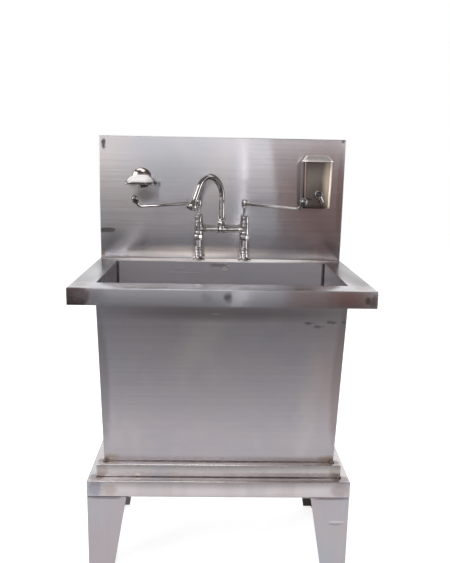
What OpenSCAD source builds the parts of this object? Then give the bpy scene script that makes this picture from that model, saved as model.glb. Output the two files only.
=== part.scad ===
// Sluice sink of folded stainless sheet on a tube frame with four tapered legs.
// Millimetres. The origin is on the floor, under the middle of the whole object.
// X runs to the right seen from the front, Y runs to the back, Z runs up.

/* [Rim] */
// Width of the rim from side to side
rim_w = 800; // [760:10:900]
// Depth of the rim from its front lip to its rear skirt
rim_d = 520; // [500:10:600]
// Height of the rim's top face over the floor
rim_z = 900; // [860:5:950]
// Height of the folded lip round the rim
lip_h = 45; // [34:1:50]
// Flat strip between the front lip and the bowl
front_strip = 72; // [60:1:84]
// Flat strip between a side lip and the bowl
side_strip = 64; // [56:1:80]
// Tap ledge between the bowl and the backsplash
ledge_d = 64; // [60:1:74]
// Thickness of the folded sheet
sheet = 1.5; // [1.2:0.1:2]

/* [Backsplash] */
// Height of the backsplash over the rim
splash_h = 395; // [380:5:450]
// Thickness of the backsplash at its folded edges
splash_t = 20; // [18:1:26]
// Width of each stiffener behind the backsplash
stiffener_w = 60; // [40:2:80]
// Distance of each stiffener from the middle
stiffener_x = 215; // [150:5:280]

/* [Bowl and casing] */
// Depth of the bowl under the rim
bowl_depth = 340; // [300:5:360]
// How far the casing's foot lies behind its top at the front
front_setback = 84; // [60:2:100]
// Gap between the bowl's walls and the casing panels
casing_gap = 1; // [0.5:0.1:2]
// Width of the flange inside the casing that carries the rear panel
panel_flange = 20; // [16:1:30]
// Screws along each side of the rear panel
panel_screws_per_side = 4; // [2:1:6]
// Thread radius of a panel screw
panel_screw_r = 2.5; // [2:0.1:3]
// Radius of the panel screw's button head
panel_screw_head_r = 4.75; // [4.2:0.05:6]
// Height of the panel screw's button head
panel_screw_head_h = 2.6; // [2:0.1:3.2]

/* [Frame and legs] */
// Height of the legs under the base frame
leg_h = 255; // [235:5:265]
// Square tube of the step frame under the casing
step_tube = 40; // [30:1:50]
// Width of the ledge that the step frame shows round the casing
step_ledge = 20; // [12:1:24]
// Square tube of the base frame on the legs
base_tube = 50; // [44:1:60]
// Width of the ledge that the base frame shows round the step frame
base_ledge = 25; // [16:1:28]
// Wall of the frame tubes
tube_wall = 2; // [1.5:0.1:3]
// Width of a leg at its top
leg_top_w = 115; // [90:1:130]
// Width of a leg at its foot
leg_foot_w = 72; // [50:1:85]
// Thickness of the legs' folded sheet
leg_sheet = 3; // [2:0.5:4]
// Thickness of the plate welded into each leg's foot
foot_plate = 4; // [3:0.5:6]
// Length of the foot plate along each side of a leg
foot_plate_w = 45; // [36:1:50]

/* [Waste and trap] */
// Place of the waste behind the middle of the object
waste_y = 20; // [10:1:40]
// Radius of the waste flange in the bowl
waste_flange_r = 43; // [40:0.5:48]
// Radius of the waste's threaded tail
waste_tail_r = 24; // [22:0.5:26]
// Length of the waste's tail under the bowl floor
waste_tail_len = 70; // [60:1:80]
// Wall of the waste and trap tubes
pipe_wall = 3; // [2:0.1:4]
// Radius of the lift-out strainer
strainer_r = 35; // [33:0.5:37]
// Holes in the strainer's ring
strainer_holes = 10; // [6:1:12]
// Radius of each strainer hole
strainer_hole_r = 4; // [3:0.1:4.5]
// Height of the knob on the strainer
strainer_knob_h = 9; // [7:0.5:12]
// Radius of the trap's bottle
trap_r = 36; // [34:0.5:42]
// Height of the trap's bottle over its cup
trap_h = 72; // [66:1:80]
// Radius of the outlet pipe
outlet_r = 20; // [16:0.5:21]
// Distance of the outlet pipe's centre below the trap's top
outlet_drop = 28; // [26:1:34]
// How far the outlet pipe stands out behind the casing
outlet_reach = 74; // [60:1:76]
// Free end of the outlet pipe that takes the waste coupling
outlet_free = 40; // [34:1:44]

/* [Mixer] */
// Distance between the two pillars
pillar_gap = 152; // [140:1:200]
// Distance of the pillars from the backsplash
pillar_back = 28; // [26:0.5:32]
// Radius of each deck flange
deck_flange_r = 23; // [21:0.5:25]
// Height of each deck flange
deck_flange_h = 22; // [18:0.5:24]
// Radius of the pillars' threaded tails
tail_r = 10.48; // [10.3:0.01:10.6]
// Length of the tails under the ledge
tail_len = 60; // [50:1:70]
// Free end of each tail that takes the supply pipe
tail_free = 22; // [18:1:26]
// Radius of the washer under the ledge
ledge_washer_r = 18; // [16:0.5:20]
// Thickness of the washer under the ledge
ledge_washer_t = 2; // [1.5:0.1:3]
// Radius over the corners of each back nut
back_nut_r = 16; // [14.5:0.5:18]
// Height of each back nut
back_nut_h = 8; // [6:0.5:10]
// Radius of the pillars between their rings
pillar_r = 9; // [8.5:0.1:9.4]
// How far the turned rings stand out of the pillars
ring_out = 2.8; // [2:0.1:3]
// Height of each turned ring
ring_h = 9; // [7:0.5:10]
// Height of the pillars over the ledge
pillar_h = 84; // [80:1:100]
// Radius of each valve body
valve_r = 13.5; // [12.8:0.1:15]
// Height of each valve body
valve_h = 34; // [30:1:40]
// Radius of the bridge tube
bridge_r = 8; // [7:0.1:9]
// Height of each bonnet over its valve body
bonnet_h = 28; // [24:1:36]
// Radius of each bonnet
bonnet_r = 12.8; // [11.6:0.1:13]
// Radius of each spindle
spindle_r = 4.1; // [3.8:0.1:5]
// Bare length of each spindle under its lever
spindle_show = 26; // [20:1:32]
// Running clearance between a turning piece and its bore
run_clear = 0.08; // [0.03:0.01:0.1]
// Small gap that keeps neighbouring pieces clear
seat_gap = 0.3; // [0.2:0.05:0.4]

/* [Levers] */
// Radius of each lever's hub
hub_r = 10; // [9:0.1:11]
// Height of each lever's hub
hub_h = 26; // [22:1:30]
// Length from a hub's axis to the bend of its lever
lever_len = 236; // [180:4:240]
// Radius of the lever rods
lever_rod_r = 5; // [4:0.1:6]
// Radius of the upward bend at a lever's end
lever_bend_r = 22; // [15:1:26]
// Angle of the upward bend at a lever's end
lever_bend = 55; // [40:1:75]
// Radius of the grip on each lever
grip_r = 11.5; // [8:0.5:12.5]
// Length of the grip's cone
grip_len = 12; // [8:0.5:16]
// Forward angle of the hot lever from straight left
hot_angle = 46; // [20:1:60]
// Forward angle of the cold lever from straight right
cold_angle = 53; // [35:0.5:60]

/* [Spout] */
// Outer radius of the spout tube
spout_r = 9; // [8.5:0.1:9.4]
// Radius of the spout tube's bore
spout_bore_r = 6.5; // [5:0.1:7]
// Radius of the arch along the tube's middle
arch_r = 68; // [60:1:80]
// Height of the arch's centre over the ledge
arch_z = 204; // [190:1:230]
// Angle of the arch from the riser to the outlet leg
arch_sweep = 150; // [130:1:165]
// Straight stretch between the arch and the nozzle
outlet_leg = 40; // [25:1:55]
// Length of the nozzle
nozzle_len = 30; // [24:1:34]
// Radius of the nozzle's mouth
nozzle_r = 17.5; // [14:0.5:18]
// Forward angle of the spout from straight left
spout_angle = 54; // [50:1:90]

/* [Soap dish] */
// Distance of the dish's middle from the backsplash's left end
dish_from_end = 138; // [120:1:150]
// Height of the dish's rim over the sink's rim
dish_z = 252; // [248:1:280]
// Length of the dish from end to end
dish_len = 112; // [104:1:120]
// Depth of the dish from front to back
dish_w = 76; // [70:1:80]
// Height of the dish's wall
dish_h = 9; // [7:0.5:12]
// Thickness of the dish's metal
dish_sheet = 1.6; // [1.2:0.1:2.4]
// Radius of the round wall flange
dish_flange_r = 33; // [30:0.5:36]
// Thickness of the wall flange in its middle
dish_flange_t = 11; // [8:0.5:14]
// Length of the domed insert
insert_len = 84; // [74:1:88]
// Depth of the domed insert
insert_w = 56; // [52:1:58]
// Height of the domed insert
insert_h = 28; // [22:0.5:28]

/* [Soap dispenser] */
// Distance of the dispenser's middle from the backsplash's right end
disp_from_end = 97; // [75:1:110]
// Height of the dispenser's floor over the sink's rim
disp_z = 176; // [170:1:220]
// Width of the dispenser at its top
disp_w = 97; // [92:1:110]
// Width of the dispenser at its bottom
disp_bottom_w = 90; // [84:1:91]
// Depth of the dispenser
disp_d = 60; // [56:1:75]
// Height of the dispenser's body
disp_h = 147; // [135:1:170]
// Radius of the dispenser's two front corners
disp_corner = 16; // [6:1:18]
// Thickness of the dispenser's sheet
disp_sheet = 1.2; // [1:0.1:1.6]
// Height of the sloping lid
lid_h = 20; // [14:1:24]
// Inward slope of the lid on each side
lid_slope = 15; // [10:1:20]
// Radius of the lid's hinge knuckles
knuckle_r = 4; // [3.5:0.1:4.5]
// Radius of the lid's hinge pin
hinge_pin_r = 1.5; // [1.2:0.1:2]
// Height of the push valve over the dispenser's floor
push_z = 46; // [40:1:60]
// Sideways place of the push valve from the dispenser's middle
push_x = 3; // [0:1:15]
// Outer radius of the push valve
push_r = 12; // [11:0.5:12.5]
// Radius of the push button
button_r = 7; // [5.5:0.1:7.6]
// Travel of the push button
button_travel = 7; // [4:0.5:8]
// Radius of the nozzle under the push valve
soap_nozzle_r = 8; // [6:0.5:9]
// Length of the nozzle under the push valve
soap_nozzle_len = 22; // [16:1:24]
// Sideways lean of the nozzle under the push valve
soap_nozzle_lean = 28; // [0:1:32]
// Width of the level window
window_w = 22; // [16:1:26]
// Height of the level window
window_h = 6; // [4:0.5:8]

/* [Hidden] */
$fn = 64;

steel = "#a9a8ad";
steel_dark = "#8d8b90";
bright = "#d4d3d6";
rubber = "#2b2b2d";
white = "#f2efec";

// Faces of the sink in the object's own frame
front_y = -rim_d / 2;
rear_y = rim_d / 2;
splash_y = rear_y - splash_t;
open_front = front_y + front_strip;
open_back = splash_y - ledge_d;
open_half = rim_w / 2 - side_strip;
under_z = rim_z - sheet;
floor_z = rim_z - bowl_depth;

// Casing: it wraps the bowl and stands on the step frame
step_z = leg_h + base_tube;
foot_z = step_z + step_tube;
skin = sheet + casing_gap + sheet;
case_half = open_half + skin;
case_top_front = open_front - skin;
case_rear = open_back + skin;
lean = front_setback / (rim_z - foot_z);
case_foot_front = case_top_front + front_setback;

// Step frame and base frame
step_half = case_half + step_ledge;
step_front_y = case_foot_front - step_ledge;
step_rear_y = case_rear + step_ledge;
base_half = step_half + base_ledge;
base_front_y = step_front_y - base_ledge;
base_rear_y = step_rear_y + base_ledge;

// Waste and trap
tail_end_z = floor_z - waste_tail_len;
waste_lip = 3;
strainer_seat = 1.5;
gasket_t = 3;
gasket_w = 13;
waste_nut_h = 12;
waste_nut_w = 14;
trap_nut_h = 20;
trap_nut_w = 7;
neck_h = 18;
trap_top_z = tail_end_z - neck_h;
trap_bottom_z = trap_top_z - trap_h;
cup_lap = 14;
cup_h = 30;
thread_clear = 0.15;
dip_wall = 2;
dip_r = waste_tail_r - pipe_wall - 1;
dip_clear = 0.1;
dip_collar_h = 3;
dip_collar_w = 1.5;
dip_lift = 4;
outlet_z = trap_top_z - outlet_drop;
outlet_bore_r = outlet_r - 1.8;
outlet_spigot = 26;
outlet_joint_y = waste_y + trap_r + outlet_spigot;
bead_w = 3;
bead_out = 1.5;
collar_t = 4;
collar_w = 10;
panel_hole_w = 3;
screw_clear = 0.2;

// Mixer heights over the rim
mixer_y = splash_y - pillar_back;
pillar_x = pillar_gap / 2;
valve_z = pillar_h;
bridge_z = valve_z + valve_h / 2;
valve_top = valve_z + valve_h;
collar_h = 4;
bonnet_z = valve_top + collar_h;
bonnet_top = bonnet_z + bonnet_h - collar_h;
hub_z = bonnet_top + spindle_show;
rod_z = hub_z + hub_h * 0.54;
tee_r = 12.5;
neck_r = 10;
spout_seat = bridge_z + 17;
nut_top = spout_seat + 21;
bonnet_thread_r = 10;
thread_depth = 11;
union_h = 18;
union_r = 15.6;
hex_play = 0.35;
neck_of_pillar = pillar_r - 0.6;
ring_r = pillar_r + ring_out;
low_ring_z = deck_flange_h + seat_gap;
high_ring_z = low_ring_z + 1.4 * ring_h;
valve_bore_r = 7;

// Soap dish
dish_x = rim_w / 2 - dish_from_end;
dish_gap = 3;
dish_y = splash_y - dish_gap - dish_w / 2;
dish_lip = 3.5;
rose_up = 10;

// Dispenser
disp_x = rim_w / 2 - disp_from_end;
disp_floor = rim_z + disp_z;
disp_top = disp_floor + disp_h;
disp_front = splash_y - disp_d;
back_plate = 1.6;
body_rear = splash_y - back_plate;
hinge_y = splash_y - back_plate - knuckle_r - 1;
hinge_z = disp_top + knuckle_r + seat_gap;
lid_rear = hinge_y - knuckle_r - 0.6;
push_cx = disp_x + push_x;
push_cz = disp_floor + push_z;
valve_out = 17;
valve_in = 20;
button_out = 8;
valve_end = 2;
barrel_r = push_r - 3;
soap_bore_r = 2.5;
dip_tube_r = 3;
barrel_clear = 0.2;
tank_headroom = 14;
window_x = disp_x - 27;
window_z = disp_floor + 30;
hinge_mid = 27;
hinge_ear = 10;
hinge_reach = hinge_mid + hinge_ear + 1;

// A slab whose outline lies in the YZ plane, from x0 to x1
module side_slab(x0, x1, outline) {
    translate([x0, 0, 0])
        rotate([90, 0, 90])
            linear_extrude(height = x1 - x0)
                polygon(outline);
}

// Place of the leaning front at a height, measured at the casing's outer face
function lean_y(z) = case_top_front + (rim_z - z) * lean;

// One mitred square tube of a frame: its outer edge runs along X at y = 0, its body lies towards +Y
module mitred_rail(len, tube) {
    difference() {
        linear_extrude(height = tube)
            polygon([[-len / 2, 0], [len / 2, 0], [len / 2 - tube, tube], [-len / 2 + tube, tube]]);
        translate([-len / 2, tube_wall, tube_wall])
            cube([len, tube - 2 * tube_wall, tube - 2 * tube_wall]);
    }
}

// The four rails of a rectangular frame, each picked by its side
module frame_rail(side, half, y0, y1, z, tube) {
    mid = (y0 + y1) / 2;
    if (side == "front")
        translate([0, y0, z]) mitred_rail(2 * half, tube);
    if (side == "rear")
        translate([0, y1, z]) rotate([0, 0, 180]) mitred_rail(2 * half, tube);
    if (side == "left")
        translate([-half, mid, z]) rotate([0, 0, -90]) mitred_rail(y1 - y0, tube);
    if (side == "right")
        translate([half, mid, z]) rotate([0, 0, 90]) mitred_rail(y1 - y0, tube);
}

module rim() {
    color(steel)
        difference() {
            translate([-rim_w / 2, front_y, rim_z - lip_h])
                cube([rim_w, rim_d, lip_h]);
            translate([-rim_w / 2 + sheet, front_y + sheet, rim_z - lip_h - 1])
                cube([rim_w - 2 * sheet, rim_d - 2 * sheet, lip_h + 1 - sheet]);
            translate([-open_half, open_front, rim_z - 2 * sheet])
                cube([2 * open_half, open_back - open_front, 3 * sheet]);
            for (side = [-1, 1])
                translate([side * pillar_x, mixer_y, rim_z - 2 * sheet])
                    cylinder(r = tail_r + 0.5, h = 3 * sheet);
        }
}

module backsplash() {
    color(steel)
        difference() {
            translate([-rim_w / 2, splash_y, rim_z])
                cube([rim_w, splash_t, splash_h]);
            translate([-rim_w / 2 + sheet, splash_y + sheet, rim_z + sheet])
                cube([rim_w - 2 * sheet, splash_t, splash_h - 2 * sheet]);
        }
}

module splash_stiffeners() {
    depth = splash_t - sheet;
    color(steel_dark)
        for (side = [-1, 1])
            translate([side * stiffener_x - stiffener_w / 2, splash_y + sheet, rim_z + sheet])
                difference() {
                    cube([stiffener_w, depth - 1, splash_h - 2 * sheet]);
                    translate([sheet, -1, -1])
                        cube([stiffener_w - 2 * sheet, depth - sheet, splash_h]);
                }
}

module bowl() {
    outer_front = open_front - sheet;
    color(steel_dark)
        difference() {
            side_slab(-open_half - sheet, open_half + sheet, [
                [outer_front, under_z],
                [outer_front + (under_z - floor_z + sheet) * lean, floor_z - sheet],
                [open_back + sheet, floor_z - sheet],
                [open_back + sheet, under_z]]);
            side_slab(-open_half, open_half, [
                [open_front - lean * 10, under_z + 10],
                [open_front + (under_z - floor_z) * lean, floor_z],
                [open_back, floor_z],
                [open_back, under_z + 10]]);
            translate([0, waste_y, floor_z - 3 * sheet])
                cylinder(r = waste_tail_r + 1, h = 6 * sheet);
        }
}

module front_panel() {
    color(steel)
        side_slab(-case_half, case_half, [
            [lean_y(under_z), under_z],
            [lean_y(foot_z), foot_z],
            [lean_y(foot_z) + sheet, foot_z],
            [lean_y(under_z) + sheet, under_z]]);
}

// Heights of the screws down one side of the rear panel
function screw_z(i) = foot_z + 25 + i * (floor_z - foot_z - 60) / (panel_screws_per_side - 1);

// Bores or shanks at every place of a panel screw
module at_panel_screws() {
    for (side = [-1, 1])
        for (i = [0:panel_screws_per_side - 1])
            translate([side * (case_half - panel_flange / 2), case_rear, screw_z(i)])
                rotate([-90, 0, 0])
                    children();
}

module side_panel(side) {
    flange_x = side < 0 ? -case_half : case_half - panel_flange;
    wall_x = side < 0 ? -case_half : case_half - sheet;
    color(steel)
        difference() {
            union() {
                side_slab(wall_x, wall_x + sheet, [
                    [lean_y(under_z) + sheet, under_z],
                    [lean_y(foot_z) + sheet, foot_z],
                    [case_rear - sheet, foot_z],
                    [case_rear - sheet, under_z]]);
                translate([flange_x, case_rear - 2 * sheet, foot_z])
                    cube([panel_flange, sheet, floor_z - 2 * sheet - foot_z]);
            }
            at_panel_screws()
                translate([0, 0, -4 * sheet])
                    cylinder(r = panel_screw_r + screw_clear, h = 5 * sheet);
        }
}

module left_panel() {
    side_panel(-1);
}

module right_panel() {
    side_panel(1);
}

module rear_panel() {
    color(steel)
        difference() {
            translate([-case_half, case_rear - sheet, foot_z])
                cube([2 * case_half, sheet, under_z - foot_z]);
            at_panel_screws()
                translate([0, 0, -2 * sheet])
                    cylinder(r = panel_screw_r + screw_clear, h = 3 * sheet);
            translate([0, case_rear - 2 * sheet, outlet_z])
                rotate([-90, 0, 0])
                    cylinder(r = outlet_r + panel_hole_w, h = 3 * sheet);
        }
}

module panel_screws() {
    shank = 3 * sheet;
    color(bright)
        at_panel_screws() {
            translate([0, 0, -shank])
                cylinder(r = panel_screw_r, h = shank + 0.5, $fn = 24);
            cylinder(r1 = panel_screw_head_r, r2 = panel_screw_head_r * 2 / 3,
                h = panel_screw_head_h, $fn = 32);
        }
}

module step_rail(side) {
    color(steel)
        frame_rail(side, step_half, step_front_y, step_rear_y, step_z, step_tube);
}

module step_front() {
    step_rail("front");
}

module step_rear() {
    step_rail("rear");
}

module step_left() {
    step_rail("left");
}

module step_right() {
    step_rail("right");
}

module base_rail(side) {
    color(steel)
        frame_rail(side, base_half, base_front_y, base_rear_y, leg_h, base_tube);
}

module base_front() {
    base_rail("front");
}

module base_rear() {
    base_rail("rear");
}

module base_left() {
    base_rail("left");
}

module base_right() {
    base_rail("right");
}

// One tapered plate of a leg, its straight edge on the Z axis
module leg_blade() {
    rotate([90, 0, 0])
        translate([0, 0, -leg_sheet])
            linear_extrude(height = leg_sheet)
                polygon([[0, 0], [leg_foot_w, 0], [leg_top_w, leg_h], [0, leg_h]]);
}

// A leg for the corner at the left front, its outer corner on the Z axis
module leg_shape() {
    plate_nose = foot_plate_w / 3;
    leg_blade();
    mirror([1, -1, 0])
        leg_blade();
    linear_extrude(height = foot_plate)
        polygon([[0, 0], [foot_plate_w, 0], [foot_plate_w, plate_nose], [plate_nose, foot_plate_w],
            [0, foot_plate_w]]);
}

module leg(right, rear) {
    x = right ? base_half : -base_half;
    y = rear ? base_rear_y : base_front_y;
    color(steel)
        translate([x, y, 0])
            mirror([right ? 1 : 0, 0, 0])
                mirror([0, rear ? 1 : 0, 0])
                    leg_shape();
}

module leg_front_left() {
    leg(false, false);
}

module leg_front_right() {
    leg(true, false);
}

module leg_rear_left() {
    leg(false, true);
}

module leg_rear_right() {
    leg(true, true);
}

module waste_flange() {
    bore = waste_tail_r - pipe_wall;
    color(bright)
        translate([0, waste_y, floor_z])
            difference() {
                union() {
                    cylinder(r1 = waste_flange_r, r2 = waste_flange_r - 2, h = waste_lip);
                    translate([0, 0, -waste_tail_len])
                        cylinder(r = waste_tail_r, h = waste_tail_len + 1);
                }
                translate([0, 0, strainer_seat])
                    cylinder(r = strainer_r + 1, h = waste_lip);
                translate([0, 0, -waste_tail_len - 1])
                    cylinder(r = bore, h = waste_tail_len + 6);
            }
}

module waste_gasket() {
    color(rubber)
        translate([0, waste_y, floor_z - sheet - gasket_t])
            difference() {
                cylinder(r = waste_tail_r + gasket_w, h = gasket_t);
                translate([0, 0, -1])
                    cylinder(r = waste_tail_r + thread_clear, h = gasket_t + 2);
            }
}

module waste_nut() {
    color(bright)
        translate([0, waste_y, floor_z - sheet - gasket_t - waste_nut_h])
            difference() {
                cylinder(r = waste_tail_r + waste_nut_w, h = waste_nut_h, $fn = 8);
                translate([0, 0, -1])
                    cylinder(r = waste_tail_r + thread_clear, h = waste_nut_h + 2);
            }
}

module strainer() {
    plate = 1.5;
    knob_r = 5;
    color(bright)
        translate([0, waste_y, floor_z + strainer_seat])
            difference() {
                union() {
                    cylinder(r = strainer_r, h = plate);
                    cylinder(r1 = knob_r - 1.5, r2 = knob_r, h = strainer_knob_h);
                }
                for (i = [0:strainer_holes - 1])
                    rotate([0, 0, i * 360 / strainer_holes])
                        translate([strainer_r * 0.6, 0, -1])
                            cylinder(r = strainer_hole_r, h = plate + 2, $fn = 24);
            }
}

module trap_nut_ring(inner, outer) {
    difference() {
        cylinder(r = outer, h = trap_nut_h, $fn = 8);
        translate([0, 0, -1])
            cylinder(r = inner + thread_clear, h = trap_nut_h + 2);
    }
}

module trap_nuts() {
    color(bright) {
        translate([0, waste_y, tail_end_z - trap_nut_h / 2])
            trap_nut_ring(waste_tail_r, waste_tail_r + trap_nut_w);
        translate([0, outlet_joint_y - trap_nut_h / 2, outlet_z])
            rotate([-90, 0, 0])
                trap_nut_ring(outlet_r, outlet_r + trap_nut_w);
    }
}

// The bottle, without the dip tube that hangs in its neck
module trap_bottle() {
    difference() {
        union() {
            translate([0, waste_y, trap_bottom_z])
                cylinder(r = trap_r, h = trap_h);
            translate([0, waste_y, trap_top_z - 1])
                cylinder(r = waste_tail_r, h = neck_h + 1);
            translate([0, waste_y, outlet_z])
                rotate([-90, 0, 0])
                    cylinder(r = outlet_r, h = trap_r + outlet_spigot);
        }
        translate([0, waste_y, trap_bottom_z - 1])
            cylinder(r = trap_r - pipe_wall, h = trap_h + 1 - pipe_wall);
        translate([0, waste_y, trap_bottom_z])
            cylinder(r = dip_r + dip_clear, h = trap_h + neck_h + 1);
        translate([0, waste_y, tail_end_z - dip_collar_h])
            cylinder(r = dip_r + dip_collar_w + dip_clear, h = dip_collar_h + 1);
        translate([0, waste_y, outlet_z])
            rotate([-90, 0, 0])
                cylinder(r = outlet_bore_r - 1.2, h = trap_r + outlet_spigot + 1);
    }
}

// The collar rests in the neck, under the end of the waste's tail
module trap_dip_tube() {
    len = trap_h + neck_h - dip_lift - dip_clear;
    translate([0, waste_y, trap_bottom_z + dip_lift])
        difference() {
            union() {
                cylinder(r = dip_r, h = len);
                translate([0, 0, len + 2 * dip_clear - dip_collar_h])
                    cylinder(r = dip_r + dip_collar_w, h = dip_collar_h - 2 * dip_clear);
            }
            translate([0, 0, -1])
                cylinder(r = dip_r - dip_wall, h = len + 2);
        }
}

module trap_body() {
    color(bright) {
        trap_bottle();
        trap_dip_tube();
    }
}

module trap_cup() {
    inner = trap_r + thread_clear;
    bottom = trap_bottom_z + cup_lap - cup_h;
    color(bright)
        translate([0, waste_y, bottom])
            difference() {
                cylinder(r = inner + pipe_wall, h = cup_h);
                translate([0, 0, pipe_wall])
                    cylinder(r = inner, h = cup_h);
            }
}

// The bead on the pipe is the stop of the coupling that slides over its free end
module outlet_pipe() {
    len = case_rear + outlet_reach - outlet_joint_y;
    color(bright)
        translate([0, outlet_joint_y, outlet_z])
            rotate([-90, 0, 0])
                difference() {
                    union() {
                        cylinder(r = outlet_r, h = len);
                        translate([0, 0, len - outlet_free - bead_w])
                            cylinder(r = outlet_r + bead_out, h = bead_w);
                    }
                    translate([0, 0, -1])
                        cylinder(r = outlet_bore_r, h = rim_d);
                }
}

module outlet_collar() {
    color(rubber)
        translate([0, case_rear, outlet_z])
            rotate([-90, 0, 0])
                difference() {
                    cylinder(r1 = outlet_r + collar_w, r2 = outlet_r + collar_w / 2, h = collar_t);
                    translate([0, 0, -1])
                        cylinder(r = outlet_r + thread_clear, h = collar_t + 2);
                }
}

// Places a child at both pillars, on the ledge
module at_pillars() {
    for (side = [-1, 1])
        translate([side * pillar_x, mixer_y, rim_z])
            children();
}

module deck_flanges() {
    bore_r = tail_r + thread_clear;
    neck_r = tail_r + 1.2;
    color(bright)
        at_pillars()
            rotate_extrude()
                polygon([
                    [bore_r, 0], [deck_flange_r, 0], [deck_flange_r, deck_flange_h * 0.14],
                    [deck_flange_r * 0.89, deck_flange_h * 0.23],
                    [deck_flange_r * 0.7, deck_flange_h * 0.36],
                    [deck_flange_r * 0.57, deck_flange_h * 0.6],
                    [neck_r + 0.6, deck_flange_h * 0.86], [neck_r, deck_flange_h], [bore_r, deck_flange_h]]);
}

// A turned ring on a pillar: it swells from its foot to its crest and falls away above it
module pillar_ring(z, foot_r, top_r) {
    rise = ring_h * 0.4;
    translate([0, 0, z])
        cylinder(r1 = foot_r, r2 = ring_r, h = rise);
    translate([0, 0, z + rise])
        cylinder(r1 = ring_r, r2 = top_r, h = ring_h - rise);
}

// The tail's groove parts its free end from the thread that carries the back nut
module pillars() {
    bore = 6;
    groove_w = 2;
    groove_r = tail_r - 0.8;
    color(bright)
        at_pillars()
            difference() {
                union() {
                    translate([0, 0, -tail_len])
                        cylinder(r = tail_r, h = tail_free);
                    translate([0, 0, -tail_len])
                        cylinder(r = groove_r, h = tail_free + groove_w + 1);
                    translate([0, 0, -tail_len + tail_free + groove_w])
                        cylinder(r = tail_r, h = tail_len + 2 - tail_free - groove_w);
                    cylinder(r = pillar_r, h = pillar_h - union_h - 2);
                    pillar_ring(low_ring_z, ring_r - 1.5, ring_r - 2);
                    pillar_ring(high_ring_z, pillar_r, pillar_r);
                    cylinder(r = neck_of_pillar, h = pillar_h);
                }
                translate([0, 0, -tail_len - 1])
                    cylinder(r = bore, h = tail_len + pillar_h + 2);
            }
}

module ledge_washers() {
    color(rubber)
        at_pillars()
            translate([0, 0, -sheet - ledge_washer_t])
                difference() {
                    cylinder(r = ledge_washer_r, h = ledge_washer_t);
                    translate([0, 0, -1])
                        cylinder(r = tail_r + thread_clear, h = ledge_washer_t + 2);
                }
}

module back_nuts() {
    color(bright)
        at_pillars()
            translate([0, 0, -sheet - ledge_washer_t - back_nut_h])
                difference() {
                    cylinder(r = back_nut_r, h = back_nut_h, $fn = 6);
                    translate([0, 0, -1])
                        cylinder(r = tail_r + thread_clear, h = back_nut_h + 2);
                }
}

module union_nuts() {
    color(bright)
        at_pillars()
            translate([0, 0, pillar_h - union_h - seat_gap])
                difference() {
                    intersection() {
                        cylinder(r = union_r, h = union_h, $fn = 6);
                        cylinder(r1 = union_r + 6, r2 = union_r - 2.2, h = union_h);
                        cylinder(r1 = union_r - 2.2, r2 = union_r + 6, h = union_h);
                    }
                    translate([0, 0, -1])
                        cylinder(r = neck_of_pillar + hex_play, h = union_h + 2);
                }
}

module bridge_body() {
    waterway_r = 5;
    cone_len = 12;
    color(bright)
        translate([0, mixer_y, rim_z])
            difference() {
                union() {
                    for (side = [-1, 1])
                        translate([side * pillar_x, 0, 0]) {
                            translate([0, 0, valve_z])
                                cylinder(r = valve_r, h = valve_h);
                            translate([0, 0, bridge_z])
                                rotate([0, -90 * side, 0])
                                    cylinder(r1 = valve_r - 1.5, r2 = bridge_r, h = valve_r + cone_len);
                        }
                    translate([-pillar_x, 0, bridge_z])
                        rotate([0, 90, 0])
                            cylinder(r = bridge_r, h = pillar_gap);
                    translate([0, 0, bridge_z])
                        sphere(r = tee_r);
                    translate([0, 0, bridge_z])
                        cylinder(r = neck_r, h = spout_seat - bridge_z);
                }
                for (side = [-1, 1])
                    translate([side * pillar_x, 0, 0]) {
                        translate([0, 0, valve_z - 1])
                            cylinder(r = valve_bore_r, h = valve_h);
                        translate([0, 0, valve_top - thread_depth])
                            cylinder(r = bonnet_thread_r + thread_clear, h = thread_depth + 1);
                    }
                translate([-pillar_x, 0, bridge_z])
                    rotate([0, 90, 0])
                        cylinder(r = waterway_r, h = pillar_gap);
                translate([0, 0, bridge_z])
                    cylinder(r = spout_r - 1.5 + run_clear, h = spout_seat);
            }
}

module valve_collars() {
    color(bright)
        at_pillars()
            translate([0, 0, valve_top])
                difference() {
                    cylinder(r = valve_r + 1.5, h = collar_h);
                    translate([0, 0, -1])
                        cylinder(r = bonnet_thread_r + thread_clear, h = collar_h + 2);
                }
}

module bonnets() {
    crown = 3;
    color(bright)
        at_pillars()
            difference() {
                union() {
                    translate([0, 0, valve_top - thread_depth])
                        cylinder(r = bonnet_thread_r, h = thread_depth + collar_h + 1);
                    translate([0, 0, bonnet_z])
                        cylinder(r = bonnet_r, h = bonnet_h - collar_h - crown);
                    translate([0, 0, bonnet_top - crown])
                        cylinder(r1 = bonnet_r, r2 = bonnet_r - crown, h = crown);
                }
                translate([0, 0, valve_top - thread_depth - 1])
                    cylinder(r = spindle_r + run_clear, h = rim_z);
            }
}

// A spindle stands in its bonnet and reaches into its lever's hub
module spindle(x) {
    start = valve_top - thread_depth + 2;
    color(bright)
        translate([x, mixer_y, rim_z + start])
            cylinder(r = spindle_r, h = hub_z + hub_h / 2 - start);
}

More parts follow.
